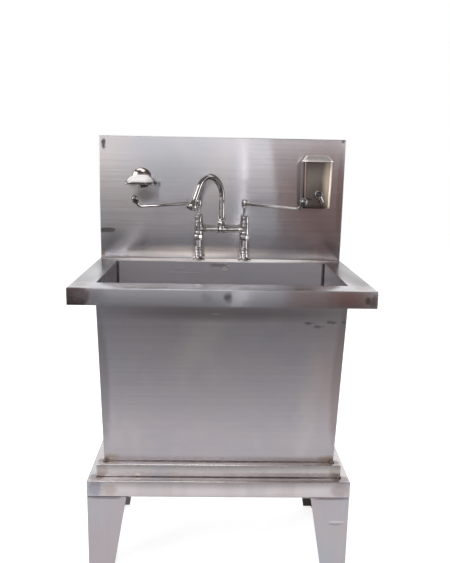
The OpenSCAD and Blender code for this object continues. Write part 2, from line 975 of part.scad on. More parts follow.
// A lever that points along +X from its hub, bends up at its end and carries no grip yet
module lever_shape() {
    neck = 6;
    boss = 2;
    chamfer = 2;
    color(bright)
        difference() {
            union() {
                translate([0, 0, hub_z])
                    cylinder(r = hub_r, h = hub_h - chamfer);
                translate([0, 0, hub_z + hub_h - chamfer])
                    cylinder(r1 = hub_r, r2 = hub_r - chamfer, h = chamfer);
                translate([0, 0, rod_z])
                    rotate([0, 90, 0]) {
                        cylinder(r = lever_rod_r, h = lever_len);
                        cylinder(r = lever_rod_r + boss, h = hub_r + neck);
                    }
                translate([lever_len, 0, rod_z + lever_bend_r])
                    rotate([90, 0, 0])
                        rotate([0, 0, -90])
                            rotate_extrude(angle = lever_bend)
                                translate([lever_bend_r, 0])
                                    circle(r = lever_rod_r);
            }
            translate([0, 0, hub_z - 1])
                cylinder(r = spindle_r + run_clear / 2, h = hub_h / 2 + 1.2);
        }
}

// The grip at a lever's bent end, in the frame of the lever
module grip_shape() {
    waist = 0.94;
    color(steel_dark)
        translate([lever_len + lever_bend_r * sin(lever_bend), 0,
            rod_z + lever_bend_r * (1 - cos(lever_bend))])
            rotate([0, 90 - lever_bend, 0]) {
                cylinder(r1 = lever_rod_r + 0.5, r2 = grip_r * waist, h = grip_len);
                translate([0, 0, grip_len + grip_r * sqrt(1 - waist * waist)])
                    sphere(r = grip_r);
            }
}

// Turns a lever from +X to its place on the left or the right pillar
module on_hot() {
    translate([-pillar_x, mixer_y, rim_z])
        rotate([0, 0, 180 + hot_angle])
            children();
}

module on_cold() {
    translate([pillar_x, mixer_y, rim_z])
        rotate([0, 0, -cold_angle])
            children();
}

module hot_spindle() {
    spindle(-pillar_x);
}

module hot_lever() {
    on_hot() lever_shape();
}

module hot_grip() {
    on_hot() grip_shape();
}

module cold_spindle() {
    spindle(pillar_x);
}

module cold_lever() {
    on_cold() lever_shape();
}

module cold_grip() {
    on_cold() grip_shape();
}

module spout_nut() {
    skirt = 6;
    low = spout_seat - skirt;
    color(bright)
        translate([0, mixer_y, rim_z + low])
            difference() {
                union() {
                    intersection() {
                        cylinder(r = tee_r + 2.4, h = nut_top - low, $fn = 6);
                        cylinder(r1 = tee_r, r2 = tee_r + 6, h = nut_top - low);
                        cylinder(r1 = tee_r + 6, r2 = tee_r, h = nut_top - low);
                    }
                    translate([0, 0, (nut_top - low) / 2 - 3])
                        cylinder(r = tee_r + 2, h = 6);
                }
                translate([0, 0, -1])
                    cylinder(r = neck_r + seat_gap, h = skirt + 1.5);
                translate([0, 0, -1])
                    cylinder(r = spout_r + seat_gap, h = nut_top);
            }
}

// The outlet leg starts where the arch ends and runs on along its tangent
module outlet_place() {
    a = 180 - arch_sweep;
    translate([arch_r + arch_r * cos(a), 0, arch_z + arch_r * sin(a)])
        rotate([0, 180 - a, 0])
            children();
}

module on_spout() {
    translate([0, mixer_y, rim_z])
        rotate([0, 0, 180 + spout_angle])
            children();
}

// A straight tube along +Z
module tube(outer, inner, len) {
    difference() {
        cylinder(r = outer, h = len);
        translate([0, 0, -1])
            cylinder(r = inner, h = len + 2);
    }
}

// A brazed sleeve over the joint of two stretches of the spout, its middle at z = 0
module sleeve() {
    half = 1.5;
    translate([0, 0, -half])
        tube(spout_r + 0.1, spout_bore_r - 0.1, 2 * half);
}

module spout() {
    spigot = spout_seat - bridge_z - 4;
    riser_z = spout_seat + seat_gap;
    parting = 0.2;
    color(bright)
        on_spout() {
            translate([0, 0, riser_z])
                difference() {
                    union() {
                        cylinder(r = spout_r, h = arch_z - riser_z - parting);
                        translate([0, 0, -spigot])
                            cylinder(r = spout_r - 1.5, h = spigot + 2);
                    }
                    translate([0, 0, -spigot - 1])
                        cylinder(r = spout_bore_r, h = arch_z);
                }
            translate([arch_r, 0, arch_z])
                rotate([90, 0, 0])
                    rotate([0, 0, 180 - arch_sweep])
                        rotate_extrude(angle = arch_sweep)
                            translate([arch_r, 0])
                                difference() {
                                    circle(r = spout_r);
                                    circle(r = spout_bore_r);
                                }
            outlet_place() {
                translate([0, 0, parting])
                    tube(spout_r, spout_bore_r, outlet_leg - parting);
                sleeve();
            }
            translate([0, 0, arch_z])
                sleeve();
        }
}

module spout_nozzle() {
    neck = 5;
    mouth = 8;
    mouth_wall = 2.5;
    color(bright)
        on_spout()
            outlet_place()
                translate([0, 0, outlet_leg])
                    difference() {
                        union() {
                            cylinder(r1 = spout_r, r2 = spout_r + 1.6, h = neck);
                            translate([0, 0, neck])
                                cylinder(r1 = spout_r + 1.6, r2 = nozzle_r, h = nozzle_len - neck - mouth);
                            translate([0, 0, nozzle_len - mouth])
                                cylinder(r = nozzle_r, h = mouth);
                        }
                        translate([0, 0, -1])
                            cylinder(r = spout_bore_r, h = nozzle_len);
                        translate([0, 0, nozzle_len - mouth + mouth_wall])
                            cylinder(r = nozzle_r - mouth_wall, h = mouth);
                    }
}

module dish_flange() {
    dome_r = (pow(dish_flange_r, 2) + pow(dish_flange_t, 2)) / (2 * dish_flange_t);
    color(bright)
        translate([-dish_x, splash_y, rim_z + dish_z + rose_up])
            rotate([90, 0, 0])
                difference() {
                    intersection() {
                        translate([0, 0, dish_flange_t - dome_r])
                            sphere(r = dome_r, $fn = 96);
                        cylinder(r = dish_flange_r, h = dish_flange_t + 1);
                    }
                    translate([-dish_len, -rose_up - dish_h - 5, dish_gap])
                        cube([2 * dish_len, dish_h + 5, dish_flange_t]);
                }
}

// A flat slab with round ends, lying across the dish
module stadium(len, width, height) {
    linear_extrude(height = height)
        union() {
            square([len - width, width], center = true);
            for (side = [-1, 1])
                translate([side * (len - width) / 2, 0])
                    circle(d = width);
        }
}

module dish_tray() {
    inner = dish_lip + dish_sheet;
    color(bright)
        translate([-dish_x, dish_y, rim_z + dish_z - dish_h])
            difference() {
                union() {
                    stadium(dish_len - 2 * dish_lip, dish_w - 2 * dish_lip, dish_h);
                    translate([0, 0, dish_h - dish_sheet])
                        stadium(dish_len, dish_w, dish_sheet);
                }
                translate([0, 0, dish_sheet])
                    stadium(dish_len - 2 * inner, dish_w - 2 * inner, dish_h);
            }
}

// A dome with round ends: two balls and the round bar between them, cut off level
module dish_insert() {
    ball_r = insert_w / 2;
    bar_r = ball_r - 0.1;
    reach = insert_len / 2 - ball_r;
    z0 = rim_z + dish_z - dish_h + dish_sheet;
    color(white)
        translate([-dish_x, dish_y, z0])
            intersection() {
                translate([0, 0, insert_h - ball_r])
                    union() {
                        for (side = [-1, 1])
                            translate([side * reach, 0, 0])
                                sphere(r = ball_r, $fn = 96);
                        translate([-reach, 0, 0])
                            rotate([0, 90, 0])
                                cylinder(r = bar_r, h = 2 * reach, $fn = 96);
                    }
                translate([-insert_len, -insert_w, 0])
                    cube([2 * insert_len, 2 * insert_w, insert_h]);
            }
}

// Front outline of the dispenser's body, grown inwards by an inset
module disp_outline(inset) {
    polygon([
        [-disp_w / 2 + inset, disp_h],
        [-disp_bottom_w / 2 + inset, inset],
        [disp_bottom_w / 2 - inset, inset],
        [disp_w / 2 - inset, disp_h]]);
}

// Sets an outline in the XZ plane and gives it a depth from y0 to y1
module disp_slab(y0, y1) {
    translate([disp_x, y1, disp_floor])
        rotate([90, 0, 0])
            linear_extrude(height = y1 - y0)
                children();
}

// A bore or shaft of the push valve's axis, from y0 to y1
module push_round(radius, y0, y1) {
    translate([push_cx, y0, push_cz])
        rotate([-90, 0, 0])
            cylinder(r = radius, h = y1 - y0);
}

module dispenser_back() {
    color(steel)
        disp_slab(body_rear, splash_y)
            disp_outline(0);
}

// Knuckles of the lid's hinge between two places along X
module knuckle(x0, x1) {
    translate([disp_x + x0, hinge_y, hinge_z])
        rotate([0, 90, 0])
            cylinder(r = knuckle_r, h = x1 - x0);
}

module hinge_bore() {
    translate([disp_x - disp_w, hinge_y, hinge_z])
        rotate([0, 90, 0])
            cylinder(r = hinge_pin_r + run_clear, h = 2 * disp_w);
}

// Plan with two round front corners, from y0 to y1, set around the dispenser's middle
module disp_plan(half, y0, y1, corner) {
    translate([disp_x, 0])
        union() {
            translate([-half, y0 + corner])
                square([2 * half, y1 - y0 - corner]);
            translate([-half + corner, y0])
                square([2 * (half - corner), corner + 1]);
            for (side = [-1, 1])
                translate([side * (half - corner), y0 + corner])
                    circle(r = corner);
        }
}

// The dispenser's block, grown inwards by an inset
module disp_block(inset) {
    y0 = disp_front + inset;
    y1 = body_rear - inset;
    intersection() {
        disp_slab(y0, y1)
            disp_outline(inset);
        translate([0, 0, disp_floor])
            linear_extrude(height = disp_h + 1)
                disp_plan(disp_w / 2 - inset, y0, y1, disp_corner - inset);
    }
}

module dispenser_body() {
    color(steel)
        difference() {
            union() {
                difference() {
                    disp_block(0);
                    disp_block(disp_sheet);
                }
                for (x = [-hinge_reach, hinge_reach - hinge_ear]) {
                    knuckle(x, x + hinge_ear);
                    translate([disp_x + x, hinge_y - 1, disp_top - 4])
                        cube([hinge_ear, body_rear - hinge_y + 1, hinge_z - disp_top + 4]);
                }
            }
            hinge_bore();
            push_round(barrel_r + barrel_clear, disp_front - 1, disp_front + 5);
            translate([window_x - window_w / 2, disp_front - 1, window_z - window_h / 2])
                cube([window_w, 5, window_h]);
        }
}

// The lid's sloping block, grown inwards by an inset, its foot kept open by a drop
module lid_block(inset, drop) {
    over = 0.8;
    foot = 2.5;
    rear_slope = 10;
    half = disp_w / 2 + over - inset;
    y0 = disp_front - over + inset;
    y1 = lid_rear - inset;
    z0 = disp_top + seat_gap - drop;
    z1 = disp_top + seat_gap + foot;
    z2 = disp_top + seat_gap + lid_h - inset;
    intersection() {
        translate([0, 0, z0])
            linear_extrude(height = z2 - z0)
                disp_plan(half, y0, y1, disp_corner + over - inset);
        translate([disp_x, y1, 0])
            rotate([90, 0, 0])
                linear_extrude(height = y1 - y0)
                    polygon([[-half, z0], [half, z0], [half, z1], [half - lid_slope, z2],
                        [-half + lid_slope, z2], [-half, z1]]);
        side_slab(disp_x - half, disp_x + half, [
            [y0, z0], [y1, z0], [y1, z1], [y1 - rear_slope, z2], [y0 + lid_slope, z2], [y0, z1]]);
    }
}

module dispenser_lid() {
    shell = 1.5;
    color(bright)
        difference() {
            union() {
                difference() {
                    lid_block(0, 0);
                    lid_block(shell, 1);
                }
                knuckle(-hinge_mid, hinge_mid);
                translate([disp_x - hinge_mid, lid_rear - 1, disp_top + seat_gap])
                    cube([2 * hinge_mid, hinge_y - lid_rear + 1, knuckle_r]);
            }
            hinge_bore();
        }
}

module dispenser_hinge_pin() {
    reach = hinge_reach + 0.5;
    color(bright)
        translate([disp_x - reach, hinge_y, hinge_z])
            rotate([0, 90, 0])
                cylinder(r = hinge_pin_r, h = 2 * reach, $fn = 32);
}

// Inner tank: it stands on the dispenser's floor and is open at its top
module dispenser_tank() {
    gap = 1.2;
    wall = 1.6;
    corner = disp_corner - disp_sheet - gap;
    half = disp_bottom_w / 2 - disp_sheet - gap;
    y0 = disp_front + disp_sheet + gap;
    y1 = body_rear - disp_sheet - gap;
    z0 = disp_floor + disp_sheet;
    height = disp_h - tank_headroom;
    color(white)
        difference() {
            translate([0, 0, z0])
                linear_extrude(height = height)
                    disp_plan(half, y0, y1, corner);
            translate([0, 0, z0 + wall])
                linear_extrude(height = height)
                    disp_plan(half - wall, y0 + wall, y1 - wall, corner - wall);
            push_round(barrel_r + barrel_clear, y0 - 1, y0 + wall + 1);
        }
}

// Sets a child hanging under the push valve, its origin on the valve's axis
module under_valve() {
    translate([push_cx, disp_front - valve_out / 2, push_cz])
        rotate([0, -soap_nozzle_lean, 0])
            children();
}

module push_valve() {
    tip_y = disp_front + valve_in;
    dip_foot = 8;
    color(bright)
        difference() {
            union() {
                push_round(push_r, disp_front - valve_out, disp_front);
                push_round(barrel_r, disp_front - 1, tip_y);
                translate([push_cx, tip_y - dip_tube_r - 1, disp_floor + dip_foot])
                    cylinder(r = dip_tube_r, h = push_z - dip_foot);
            }
            push_round(button_r + run_clear, disp_front - valve_out - 1, tip_y - valve_end);
            under_valve()
                translate([0, 0, -push_r - 1])
                    cylinder(r = soap_bore_r, h = push_r);
        }
}

module push_button() {
    length = button_out + 9;
    chamfer = 1.5;
    y0 = disp_front - valve_out - button_out;
    color(rubber)
        difference() {
            union() {
                push_round(button_r, y0 + chamfer, y0 + length);
                translate([push_cx, y0, push_cz])
                    rotate([-90, 0, 0])
                        cylinder(r1 = button_r - chamfer, r2 = button_r, h = chamfer);
            }
            push_round(button_r - 2, y0 + length - 5, y0 + length + 1);
        }
}

module push_spring() {
    y0 = disp_front - valve_out + 4 + seat_gap;
    y1 = disp_front + valve_in - valve_end;
    coil_r = button_r - 3;
    color(steel_dark)
        difference() {
            push_round(coil_r, y0, y1);
            push_round(coil_r - 1.2, y0 - 1, y1 + 1);
        }
}

module soap_nozzle() {
    top = -push_r * 0.6;
    color(bright)
        difference() {
            under_valve()
                translate([0, 0, top - soap_nozzle_len])
                    cylinder(r1 = soap_nozzle_r - 3, r2 = soap_nozzle_r, h = soap_nozzle_len);
            push_round(push_r + 0.02, disp_front - valve_out - 1, disp_front + 1);
            under_valve()
                translate([0, 0, top - soap_nozzle_len - 1])
                    cylinder(r = soap_bore_r, h = soap_nozzle_len + 3);
        }
}

module level_window() {
    play = 0.2;
    color(white)
        translate([window_x - window_w / 2 + play, disp_front - 0.4, window_z - window_h / 2 + play])
            cube([window_w - 2 * play, disp_sheet + 0.4, window_h - 2 * play]);
}

rim();
backsplash();
splash_stiffeners();
bowl();
front_panel();
left_panel();
right_panel();
rear_panel();
panel_screws();
step_front();
step_rear();
step_left();
step_right();
base_front();
base_rear();
base_left();
base_right();
leg_front_left();
leg_front_right();
leg_rear_left();
leg_rear_right();
waste_flange();
waste_gasket();
waste_nut();
strainer();
trap_nuts();
trap_body();
trap_cup();
outlet_pipe();
outlet_collar();
deck_flanges();
pillars();
ledge_washers();
back_nuts();
union_nuts();
bridge_body();
valve_collars();
bonnets();
hot_spindle();
hot_lever();
hot_grip();
cold_spindle();
cold_lever();
cold_grip();
spout_nut();
spout();
spout_nozzle();
dish_flange();
dish_tray();
dish_insert();
dispenser_back();
dispenser_body();
dispenser_lid();
dispenser_hinge_pin();
dispenser_tank();
push_valve();
push_button();
push_spring();
soap_nozzle();
level_window();
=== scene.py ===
"""Visual model of a stainless sluice sink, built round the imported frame, with procedural finishes."""

import logging
import math
from dataclasses import dataclass
from enum import Enum
from typing import Iterable, Sequence, Union

import bmesh
import bpy
from mathutils import Matrix, Vector


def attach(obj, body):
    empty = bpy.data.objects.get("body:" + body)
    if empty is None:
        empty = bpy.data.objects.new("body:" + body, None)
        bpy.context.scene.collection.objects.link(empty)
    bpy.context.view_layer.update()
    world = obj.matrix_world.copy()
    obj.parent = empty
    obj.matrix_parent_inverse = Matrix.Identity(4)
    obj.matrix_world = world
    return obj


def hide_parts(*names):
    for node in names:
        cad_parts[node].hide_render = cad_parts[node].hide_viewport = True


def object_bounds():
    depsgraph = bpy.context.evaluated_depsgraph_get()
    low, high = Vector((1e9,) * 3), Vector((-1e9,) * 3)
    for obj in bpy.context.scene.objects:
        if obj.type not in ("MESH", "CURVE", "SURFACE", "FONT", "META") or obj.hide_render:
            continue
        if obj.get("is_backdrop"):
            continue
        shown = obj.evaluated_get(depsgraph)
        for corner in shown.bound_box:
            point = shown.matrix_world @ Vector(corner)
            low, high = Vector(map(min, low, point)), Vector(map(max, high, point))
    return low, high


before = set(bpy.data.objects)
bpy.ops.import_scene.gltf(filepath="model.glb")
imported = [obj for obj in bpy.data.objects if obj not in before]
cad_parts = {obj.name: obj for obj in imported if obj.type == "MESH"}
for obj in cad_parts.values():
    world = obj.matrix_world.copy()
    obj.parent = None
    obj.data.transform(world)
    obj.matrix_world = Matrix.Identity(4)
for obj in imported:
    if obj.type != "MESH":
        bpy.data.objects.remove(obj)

LOG = logging.getLogger("sluice_sink")
METRES_PER_MM = 0.001
# Slack in mm where edges are picked by their place
NEAR = 0.1
# Least run in mm of an edge that is picked by its direction
RUN = 10.0
# Width in mm of the rounded edges of the nuts
NUT_EDGE = 1.6
Material = bpy.types.Material
Triple = tuple[float, float, float]
Point = tuple[float, float]


class Axis(Enum):
    """Direction along which a surface was brushed."""

    ACROSS = (5.0, 900.0, 900.0)
    UPRIGHT = (900.0, 900.0, 5.0)


class Corner(Enum):
    """One corner of the frame, as signs along X and Y."""

    FRONT_LEFT = (-1, -1)
    FRONT_RIGHT = (1, -1)
    REAR_LEFT = (-1, 1)
    REAR_RIGHT = (1, 1)


# Shader arithmetic


class Sock:
    """An output socket that grows Math nodes when it is used in arithmetic."""

    def __init__(self, tree: "Tree", socket: bpy.types.NodeSocket) -> None:
        """Keeps the tree and the output socket."""
        self.tree = tree
        self.socket = socket

    def _math(self, operation: str, first: "Value", second: "Value") -> "Sock":
        """Adds one Math node and returns its result."""
        node = self.tree.node("Math", {"operation": operation}, {0: first, 1: second})
        return Sock(self.tree, node.outputs[0])

    def __add__(self, other: "Value") -> "Sock":
        """Sum with a number or socket."""
        return self._math("ADD", self, other)

    def __radd__(self, other: "Value") -> "Sock":
        """Sum with a number on the left."""
        return self._math("ADD", other, self)

    def __sub__(self, other: "Value") -> "Sock":
        """Difference with a number or socket."""
        return self._math("SUBTRACT", self, other)

    def __rsub__(self, other: "Value") -> "Sock":
        """Difference from a number on the left."""
        return self._math("SUBTRACT", other, self)

    def __mul__(self, other: "Value") -> "Sock":
        """Product with a number or socket."""
        return self._math("MULTIPLY", self, other)

    def maximum(self, other: "Value") -> "Sock":
        """The larger of the two values."""
        return self._math("MAXIMUM", self, other)


Value = Union[Sock, float, int]


class Tree:
    """Node tree of one material or world, cleared and ready to be filled."""

    def __init__(self, owner: Union[Material, bpy.types.World]) -> None:
        """Clears the owner's nodes.

        Args:
            owner: The material or world that is dressed.
        """
        owner.use_nodes = True
        self.owner = owner
        self.nodes = owner.node_tree.nodes
        self.links = owner.node_tree.links
        self.nodes.clear()

    def node(self, kind: str, settings: dict | None = None, inputs: dict | None = None) -> bpy.types.Node:
        """Adds one node.

        Args:
            kind: Type name of the node, without the ShaderNode at its start.
            settings: Attributes of the node and their values.
            inputs: Input names or numbers and the value or socket each one takes.

        Returns:
            The new node.
        """
        made = self.nodes.new("ShaderNode" + kind)
        for key, value in (settings or {}).items():
            setattr(made, key, value)
        for key, value in (inputs or {}).items():
            if isinstance(value, Sock):
                self.links.new(value.socket, made.inputs[key])
            else:
                made.inputs[key].default_value = value
        return made

    def out(self, made: bpy.types.Node, name: Union[str, int] = 0) -> Sock:
        """Wraps one output of a node."""
        return Sock(self, made.outputs[name])

    def place(self) -> Sock:
        """The point's place in the row frame, in metres."""
        return self.out(self.node("TexCoord"), "Object")

    def vector(self, operation: str, first: Sock, second: Triple = (0.0, 0.0, 0.0),
               name: str = "Vector") -> Sock:
        """One output of a Vector Math node."""
        return self.out(self.node("VectorMath", {"operation": operation}, {0: first, 1: second}), name)

    def noise(self, place: Sock, scale: Union[float, Triple], detail: float = 3.0,
              rough: float = 0.55) -> Sock:
        """Cloudy noise between 0 and 1.

        Args:
            place: The point where it is read.
            scale: Its fineness, or one for each axis.
            detail: Number of finer layers.
            rough: Weight of the finer layers.

        Returns:
            The noise.
        """
        if isinstance(scale, tuple):
            place, scale = self.vector("MULTIPLY", place, scale), 1.0
        return self.out(self.node("TexNoise", None, {
            "Vector": place, "Scale": scale, "Detail": detail, "Roughness": rough}))

    def ramp(self, value: Sock, low: float, high: float) -> Sock:
        """Maps low..high smoothly to 0..1 and clamps it."""
        return self.out(self.node("MapRange", {"interpolation_type": "SMOOTHSTEP"}, {
            "Value": value, "From Min": low, "From Max": high, "To Min": 0.0, "To Max": 1.0}))

    def mix(self, factor: Value, first: Union[Sock, Triple], second: Union[Sock, Triple],
            blend: str = "MIX") -> Sock:
        """Mixes two colours.

        Args:
            factor: Share of the second colour.
            first: Colour at factor 0.
            second: Colour at factor 1.
            blend: Blend type of the Mix node.

        Returns:
            The mixed colour.
        """
        made = self.node("Mix", {"data_type": "RGBA", "blend_type": blend, "clamp_factor": True})
        for index, value in ((0, factor), (6, first), (7, second)):
            if isinstance(value, Sock):
                self.links.new(value.socket, made.inputs[index])
            elif index:
                made.inputs[index].default_value = (*value, 1.0)
            else:
                made.inputs[index].default_value = value
        return self.out(made, 2)

    def along(self, place: Sock, start: Triple, end: Triple) -> Sock:
        """How far a place lies on the way between two points, as 0 to 1 and beyond."""
        way, away = Vector(end) - Vector(start), self.vector("SUBTRACT", place, start)
        return self.vector("DOT_PRODUCT", away, tuple(way / way.length_squared), "Value")

    def stops(self, value: Sock, colours: Sequence[tuple[float, Triple]]) -> Sock:
        """A colour ramp.

        Args:
            value: What is looked up.
            colours: Places from 0 to 1 with their colours, in order.

        Returns:
            The colour.
        """
        made = self.node("ValToRGB", None, {0: value})
        elements = made.color_ramp.elements
        for position, _ in colours[2:]:
            elements.new(position)
        for element, (position, colour) in zip(sorted(elements, key=lambda e: e.position), colours):
            element.position = position
            element.color = (*colour, 1.0)
        return self.out(made)

    def bump(self, height: Sock) -> Sock:
        """A normal bent by a height field in mm."""
        return self.out(self.node("Bump", None, {
            "Strength": 1.0, "Distance": METRES_PER_MM, "Height": height}))

    def end(self, shader: Sock, kind: str = "Material") -> Union[Material, bpy.types.World]:
        """Ends the tree in a shader and returns what it dresses."""
        self.node(f"Output{kind}", None, {0: shader})
        return self.owner

    def surface(self, inputs: dict) -> Material:
        """Ends the tree in a Principled surface with the given inputs and returns the material."""
        return self.end(self.out(self.node("BsdfPrincipled", None, inputs)))

    def seen(self, hidden: Sock, shown: Sock) -> Sock:
        """Mixes two shaders by who looks.

        Args:
            hidden: Shader that only lights the object.
            shown: Shader that the camera, mirrors and glass see.

        Returns:
            The mixed shader.
        """
        path = self.node("LightPath")
        share = self.out(path, "Is Camera Ray").maximum(self.out(path, "Is Glossy Ray"))
        share = share.maximum(self.out(path, "Is Transmission Ray"))
        return self.out(self.node("MixShader", None, {0: share, 1: hidden, 2: shown}))


# Finishes


@dataclass(frozen=True)
class Patch:
    """A soft-edged mark on a surface: heat tint, smudge or stain, or painted shade, shadow, highlight or
    reflection. Places and radii are in mm.
    """

    centre: Triple
    radii: Triple
    colour: Triple
    strength: float = 0.7
    rough: float = 0.0
    edge: float = 0.45
    fray: float = 1.6

    def mask(self, tree: Tree, place: Sock, wobble: Sock) -> Sock:
        """The mark's share at a point.

        Args:
            tree: Tree of the material.
            place: Place in the row frame.
            wobble: Noise that frays the mark's edge.

        Returns:
            Zero outside the mark, up to its strength inside.
        """
        away = tree.vector("SUBTRACT", place, tuple(c * METRES_PER_MM for c in self.centre))
        spread = tree.vector("DIVIDE", away, tuple(r * METRES_PER_MM for r in self.radii))
        frayed = tree.vector("LENGTH", spread, name="Value") + (wobble - 0.5) * self.fray
        return (1.0 - tree.ramp(frayed, self.edge, 1.0)) * self.strength


@dataclass(frozen=True)
class SheetSteel:
    """Brushed stainless sheet with grain, clouds, scratches and local marks, some of which are painted shade,
    shadows, highlights and reflections.
    """

    name: str
    base: Triple = (0.66, 0.64, 0.655)
    grain: Axis = Axis.ACROSS
    rough: float = 0.28
    anisotropic: float = 0.0
    grain_depth: float = 0.003
    wave_depth: float = 0.30
    banding: float = 0.07
    cool: Triple = (0.60, 0.61, 0.66)
    warm: Triple = (0.68, 0.63, 0.62)
    patches: tuple[Patch, ...] = ()

    def _streaks(self, tree: Tree, place: Sock, factor: float, detail: float, rough: float = 0.55) -> Sock:
        """Noise drawn out along the grain."""
        return tree.noise(place, tuple(factor * v for v in self.grain.value), detail, rough)

    def build(self) -> Material:
        """Builds the material.

        Returns:
            The finished material.
        """
        tree = Tree(bpy.data.materials.new(self.name))
        place = tree.place()
        grain = self._streaks(tree, place, 1.0, 2.0, 0.6)
        fine = self._streaks(tree, place, 2.6, 1.0)
        bands = self._streaks(tree, place, 0.24, 3.0)
        hair = tree.ramp(self._streaks(tree, place, 0.45, 1.0), 0.70, 0.78)
        cloud = tree.noise(place, 4.5, 4.0, 0.6)
        drift = tree.noise(place, (7.0, 7.0, 2.6))
        ragged = tree.noise(place, 46.0, 5.0, 0.7) * 0.7 + tree.noise(place, (60.0, 60.0, 420.0)) * 0.3
        colour = tree.mix(tree.ramp(cloud, 0.42, 0.72), self.base, self.cool)
        colour = tree.mix(tree.ramp(drift, 0.50, 0.72) * 0.8, colour, self.warm)
        shade = 0.88 + grain * 0.06 + (fine - 0.5) * 0.05 + (bands - 0.5) * self.banding
        tone = tree.out(tree.node("CombineColor", None, {0: shade, 1: shade, 2: shade}))
        colour = tree.mix(hair * 0.10, tree.mix(1.0, colour, tone, "MULTIPLY"), (0.74, 0.73, 0.75))
        rough = self.rough + (grain - 0.5) * 0.03 + (cloud - 0.5) * 0.06 + (bands - 0.5) * 0.04
        for patch in self.patches:
            mask = patch.mask(tree, place, ragged)
            colour = tree.mix(mask, colour, patch.colour)
            if patch.rough:
                rough = rough + mask * patch.rough
        waves = tree.noise(place, (2.2, 2.2, 3.4), 1.0)
        return tree.surface({"Base Color": colour, "Metallic": 1.0, "Roughness": rough,
                             "Normal": tree.bump(grain * self.grain_depth + waves * self.wave_depth),
                             "Anisotropic": self.anisotropic, "Anisotropic Rotation": 0.25})


@dataclass(frozen=True)
class Chrome:
    """Polished plating with fingerprints, water marks and a little wear."""

    name: str
    base: Triple
    rough: float = 0.05
    smear: float = 0.16
    dull: Triple = (0.52, 0.50, 0.49)

    def build(self) -> Material:
        """Builds the material.

        Returns:
            The finished material.
        """
        tree = Tree(bpy.data.materials.new(self.name))
        place = tree.place()
        cloud = tree.noise(place, 34.0, 4.0, 0.6)
        spots = tree.ramp(tree.noise(place, 210.0, 2.0), 0.62, 0.72)
        lines = tree.noise(place, (60.0, 60.0, 900.0), 2.0)
        colour = tree.mix(tree.ramp(cloud, 0.45, 0.75) * 0.55, self.base, self.dull)
        colour = tree.mix(spots * 0.3, colour, (0.58, 0.57, 0.55))
        rough = self.rough + tree.ramp(cloud, 0.4, 0.8) * self.smear + spots * 0.1
        return tree.surface({"Base Color": colour, "Metallic": 1.0, "Roughness": rough,
                             "Normal": tree.bump(lines * 0.004 + cloud * 0.03)})


@dataclass(frozen=True)
class WeldMetal:
    """Rough, heat-coloured weld bead."""

    name: str = "weld_metal"
    dark: Triple = (0.13, 0.10, 0.09)
    brown: Triple = (0.33, 0.27, 0.24)
    bare: Triple = (0.45, 0.44, 0.46)

    def build(self) -> Material:
        """Builds the material.

        Returns:
            The finished material.
        """
        tree = Tree(bpy.data.materials.new(self.name))
        place = tree.place()
        cloud, fine = tree.noise(place, 120.0), tree.noise(place, 620.0)
        colour = tree.mix(tree.ramp(cloud, 0.35, 0.65), self.dark, self.brown)
        colour = tree.mix(tree.ramp(fine, 0.55, 0.75) * 0.5, colour, self.bare)
        return tree.surface({"Base Color": colour, "Metallic": 0.85, "Roughness": 0.38 + fine * 0.25,
                             "Normal": tree.bump(fine * 0.3 + cloud * 0.4)})


@dataclass(frozen=True)
class Plain:
    """Rubber, plastic or glazed finish: a coloured surface with grain and dirt."""

    name: str
    base: Triple
    dirt: Triple
    rough: float
    coat: float = 0.0

    def build(self) -> Material:
        """Builds the material.

        Returns:
            The finished material.
        """
        tree = Tree(bpy.data.materials.new(self.name))
        place = tree.place()
        cloud, fine = tree.noise(place, 36.0, 4.0, 0.6), tree.noise(place, 720.0, 2.0)
        colour = tree.mix(tree.ramp(cloud, 0.45, 0.8) * 0.6, self.base, self.dirt)
        rough = self.rough + (cloud - 0.5) * 0.2 + (fine - 0.5) * 0.08
        return tree.surface({"Base Color": colour, "Metallic": 0.0, "Roughness": rough,
                             "Coat Weight": self.coat, "Normal": tree.bump(fine * 0.02)})


# Mesh building


def soften(profile: Sequence[Point], radius: float, steps: int = 3) -> list[Point]:
    """Rounds the inner corners of a profile.

    Args:
        profile: Points of an open profile, as (radius, height).
        radius: Length cut from each side of a corner, less where a side is short.
        steps: Points laid over each corner.

    Returns:
        The rounded profile.
    """
    made = [profile[0]]
    for before, corner, after in zip(profile, profile[1:], profile[2:]):
        here = Vector(corner)
        back, ahead = Vector(before) - here, Vector(after) - here
        cut = min(radius, back.length * 0.45, ahead.length * 0.45)
        start, end = here + back.normalized() * cut, here + ahead.normalized() * cut
        for i in range(steps + 1):
            t = i / steps
            spot = start * (1 - t) ** 2 + here * 2 * t * (1 - t) + end * t * t
            made.append((spot.x, spot.y))
    made.append(profile[-1])
    return made


def turned(angle: float, axis: str = "Z") -> Matrix:
    """A rotation by an angle in degrees."""
    return Matrix.Rotation(math.radians(angle), 4, axis)


def at(x: float, y: float, z: float) -> Matrix:
    """A place, as a matrix."""
    return Matrix.Translation((x, y, z))


def once(parts: Iterable) -> list:
    """The parts in order, each of them once."""
    return list(dict.fromkeys(parts))


